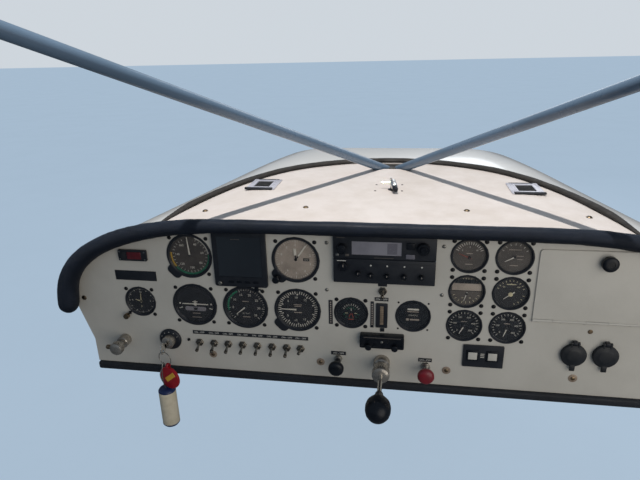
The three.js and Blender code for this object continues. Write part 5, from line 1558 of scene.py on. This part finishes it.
def key_float():
    bottom = -FLOAT_LENGTH
    hang = on_ring(FLOAT_ANGLE, RING_RADIUS - 0.8 - BAIL_WIRE - 0.35)
    top = hang - AXIS_Z * (BAIL_UP * 2 - 4) * MM
    parts = [turned([(14, bottom + 5), (15, bottom + 6.5), (15, -6.5), (14, -5)], top, float_foam,
                    AXIS_Z, 40)]
    for low, high in ((-6.4, 0), (bottom + 6.4, bottom)):
        rise = high - low
        parts.append(turned([(0, high), (9, high - rise * 0.03), (13, high - rise * 0.3),
                             (15, low + rise * 0.25), (15.1, low)], top, tag_blue, AXIS_Z, 40))
    bail = baked(wire_ring((0, 0, 0), 0, BAIL_ACROSS, BAIL_WIRE, 40, 8))
    for vertex in bail.data.vertices:
        turn = math.atan2(vertex.co.z, vertex.co.x)
        vertex.co.z += math.sin(turn) * (BAIL_UP - BAIL_ACROSS) * MM
    bail.matrix_world = (Matrix.Translation(hang - AXIS_Z * BAIL_UP * MM)
                         @ Matrix.Rotation(RING_TURN + math.pi / 2, 4, "Z"))
    return parts + [bail]


settle(key_tag(), "key_tag_dressed", "key_tag")
settle(key_float(), "key_float_dressed", "key_float", degrees=50)
print("keys done")

# %% [markdown]
# ## Power sockets
# Two power sockets with sprung lids. The lid really turns about its pin, so it is a piece of its own
# that rides on the lid's body, and its ears stay inside the clearances of the solids.

# %% Socket and lid
SOCKETS = (("left", 296.6, -51.1), ("right", 343.1, -49.9))
LID_AXIS_Y, LID_AXIS_UP = -5.4, 22.0
SOCKET_BODY = [(10.8, 40), (10.8, -3.4), (11.4, -3.9), (18, -3.9), (18.7, -3.2), (18.7, -0.3), (14.2, -0.3),
               (14.2, 30), (13.2, 30.4), (13.2, 45)]
SOCKET_LINER = [(10.2, 39), (10.2, 4), (10.79, 4), (10.79, 39), (10.2, 39)]
SOCKET_NUT = [(14.1, 6), (18, 6), (18.4, 6.6), (18.4, 11.4), (18, 12), (14.1, 12), (14.1, 6)]
LID_DISC = [(9, -8.0), (11, -7.6), (12, -7.1), (17, -6.9), (18.6, -6.4), (19.2, -5.6), (19.2, -4.8),
            (18.7, -4.2)]


def socket(x, z):
    at, hinge = (x, 0, z), z + LID_AXIS_UP
    knuckle = block((x - 3.2, -8, hinge - 2.4), (x + 3.2, -2.9, hinge + 2.8), 0.5, bezel_black, 2)
    cut(knuckle, rod(1.3, -6, 6, (x, LID_AXIS_Y, hinge), bezel_black, AXIS_X, 16))
    return [
        turned(SOCKET_BODY, at, bezel_black, steps=48),
        turned(SOCKET_LINER, at, brass, steps=36),
        turned([(0, 40.2), (3, 40.2), (2.4, 34), (0, 33)], at, brass, steps=20),
        turned(SOCKET_NUT, at, worn_steel, steps=8),
        block((x - 3.2, -3.9, z + 14), (x + 3.2, -0.3, hinge + 2.8), 0.4, bezel_black, 2), knuckle,
        *[patch(x + aside, z, 5.2, 1, brass, (44.6, 50), 0.1, 1) for aside in (-7, 7)],
    ]


def socket_lid(x, z):
    hinge = z + LID_AXIS_UP
    disc = turned(LID_DISC, (x, 0, z), lid_black, steps=48)
    cut(disc, block((x - 3.8, -12, z + 17.8), (x + 3.8, 2, z + 30), 0, lid_black))
    parts = [disc, patch(x, z - 21.5, 8.4, 11, lid_black, (-7.2, -4.2), 0.9, 2)]
    for near, far in ((-6.7, -3.7), (3.7, 6.7)):
        parts.append(turned([(2.2, near), (2.6, near + 0.3), (2.6, far - 0.3), (2.2, far)],
                            (x, LID_AXIS_Y, hinge), lid_black, AXIS_X, 20))
        parts.append(block((x + near, -7.2, z + 15), (x + far, -4.2, hinge), 0.3, lid_black, 1))
    return parts + [turned([(0, -7), (0.95, -6.9), (0.95, 6.9), (0, 7)], (x, LID_AXIS_Y, hinge), worn_steel,
                           AXIS_X, 12)]


for word, x, z in SOCKETS:
    lid = "socket_lid_" + word
    settle(socket(x, z), "power_socket_%s_dressed" % word, "power_socket_" + word)
    settle(socket_lid(x, z), lid + "_dressed", lid, lid)
print("sockets done")

# %% [markdown]
# ## Glovebox and the solids that stay
# Door, panel, brackets and the glovebox bin are flat sheet metal, whose solids already have the right
# shape. They keep their mesh and get a better finish by putting it into their material slot. The
# door's knob is turned again with soft edges, and rivets show how the hinge is held.

# %% Glovebox knob and rivets
KNOB_AT = (324.4, 0, 105.8)
RIVET_X, RIVET_STEP, RIVET_Z = 240, 33, 2.4
door_knob = turned([(6, -14), (8.4, -13.8), (10.4, -13), (11.5, -11.6), (11.5, -6), (10.6, -4.4), (8.5, -2.7),
                    (3, -2.6), (3, 0), (4.5, 0), (4.5, 5)], KNOB_AT, knob_black, steps=48)
cut(door_knob, rod(5.4, -16, -13.2, KNOB_AT, knob_black))
settle([door_knob], "glovebox_knob_turned", "glovebox_knob", "glovebox_door")
rivet = turned([(0, -0.9), (0.8, -0.8), (1.36, -0.5), (1.6, -0.05)], ZERO, panel_paint, steps=12)
rivets = row_of(rivet, [(RIVET_X + RIVET_STEP * k, RIVET_Z) for k in range(6)])
settle([rivets], "hinge_rivets")

# %% Finishes of the solids that stay
STAY = {"panel_plate": panel_paint, "glovebox_door": panel_paint, "glovebox_hinge_pin": worn_steel,
        "glovebox_bin": sheet_metal, "side_bracket_left": sheet_metal, "side_bracket_right": sheet_metal}
for name, material in STAY.items():
    for slot in nodes[name].material_slots:
        slot.material = material

# %% [markdown]
# ## Studio
# A plain floor, a pale sky and three lamps. The overhead one stands on the way to the sun, worked out
# from the shadows of the two tubes on the deck. In the aircraft the roof keeps the sun off the panel's
# face, so this lamp is linked to what lies on and ahead of the roll. A wide lamp at the pilot's right
# opens up the panel, and one ahead gives the roll and the tubes their rim of light. Floor and sky look
# brighter to the camera than to the part, since the pilot's room is dim and the water outside is not.

# %% Floor, sky and lamps
FLOOR_BELOW = 620.0
FLOOR_SEEN, SEEN_STRENGTH = "b2c8dc", 0.72
SKY_LIGHT, SKY_STRENGTH, SKY_SEEN = (0.66, 0.81, 1.0, 1.0), 0.28, (0.86, 0.93, 1.0, 1.0)
SUN_WAY, SUN_FAR = Vector((-0.050, -0.291, 0.955)), 2.6
SUNLIT = ("deck_", "boot_cowl", "windscreen", "padded", "brace_", "cross_", "ball_")
DECK_MIDDLE = spot(0, 220, ROOF_HEIGHT)


def make_floor():
    deselect_all()
    bpy.ops.mesh.primitive_plane_add(size=80, location=spot(0, 0, -FLOOR_BELOW))
    matt = finish("studio_floor", "8f9499", "8b9095", 2, 0.8, 0.03)
    tree = matt.node_tree
    glow = combined(tree, "MULTIPLY", add_node(tree, "LightPath", "Is Camera Ray"), SEEN_STRENGTH)
    for label, value in {"Emission Strength": glow, "Emission Color": tint(FLOOR_SEEN)}.items():
        put(tree, tree.nodes["Principled BSDF"].inputs[label], value)
    floor = painted(bpy.context.object, matt)
    floor.name = "studio_floor"


def make_lamp(name, place, target, size, power, color):
    lamp = bpy.data.lights.new(name, "AREA")
    lamp.shape = "DISK"
    lamp.size = size
    lamp.energy = power
    lamp.color = color
    holder = bpy.data.objects.new(name, lamp)
    bpy.context.scene.collection.objects.link(holder)
    holder.location = place
    holder.rotation_euler = (target - place).to_track_quat("-Z", "Y").to_euler()
    return holder


def sunlit_pieces():
    """Every piece that the sun reaches through the windscreen."""
    lit = bpy.data.collections.new("sunlit")
    for obj in bpy.context.scene.objects:
        if obj.type == "MESH" and obj.name.startswith(SUNLIT):
            lit.objects.link(obj)
    return lit


def make_sky():
    """A blue-grey sky gives the light, and the camera sees a paler one."""
    world = bpy.data.worlds.new("studio_sky")
    world.use_nodes = True
    tree = world.node_tree
    light = tree.nodes["Background"]
    light.inputs["Color"].default_value = SKY_LIGHT
    light.inputs["Strength"].default_value = SKY_STRENGTH
    seen = add_node(tree, "Background", "Background", Color=SKY_SEEN, Strength=SEEN_STRENGTH)
    mix = add_node(tree, "MixShader", "Shader", {1: light.outputs["Background"], 2: seen},
                   Fac=add_node(tree, "LightPath", "Is Camera Ray"))
    put(tree, tree.nodes["World Output"].inputs["Surface"], mix)
    bpy.context.scene.world = world


make_floor()
make_sky()
overhead = make_lamp("overhead_lamp", DECK_MIDDLE + SUN_WAY * SUN_FAR, DECK_MIDDLE, 0.05, 76,
                     (1.0, 0.955, 0.9))
overhead.light_linking.receiver_collection = sunlit_pieces()
make_lamp("cabin_lamp", spot(1100, -1300, 320), spot(200, 0, 20), 2.0, 13, (1.0, 0.94, 0.86))
make_lamp("front_lamp", spot(500, 3000, 1500), DECK_MIDDLE, 2.0, 12, (0.9, 0.95, 1.0))
bpy.context.scene.view_settings.view_transform = "Standard"
print("studio lit")
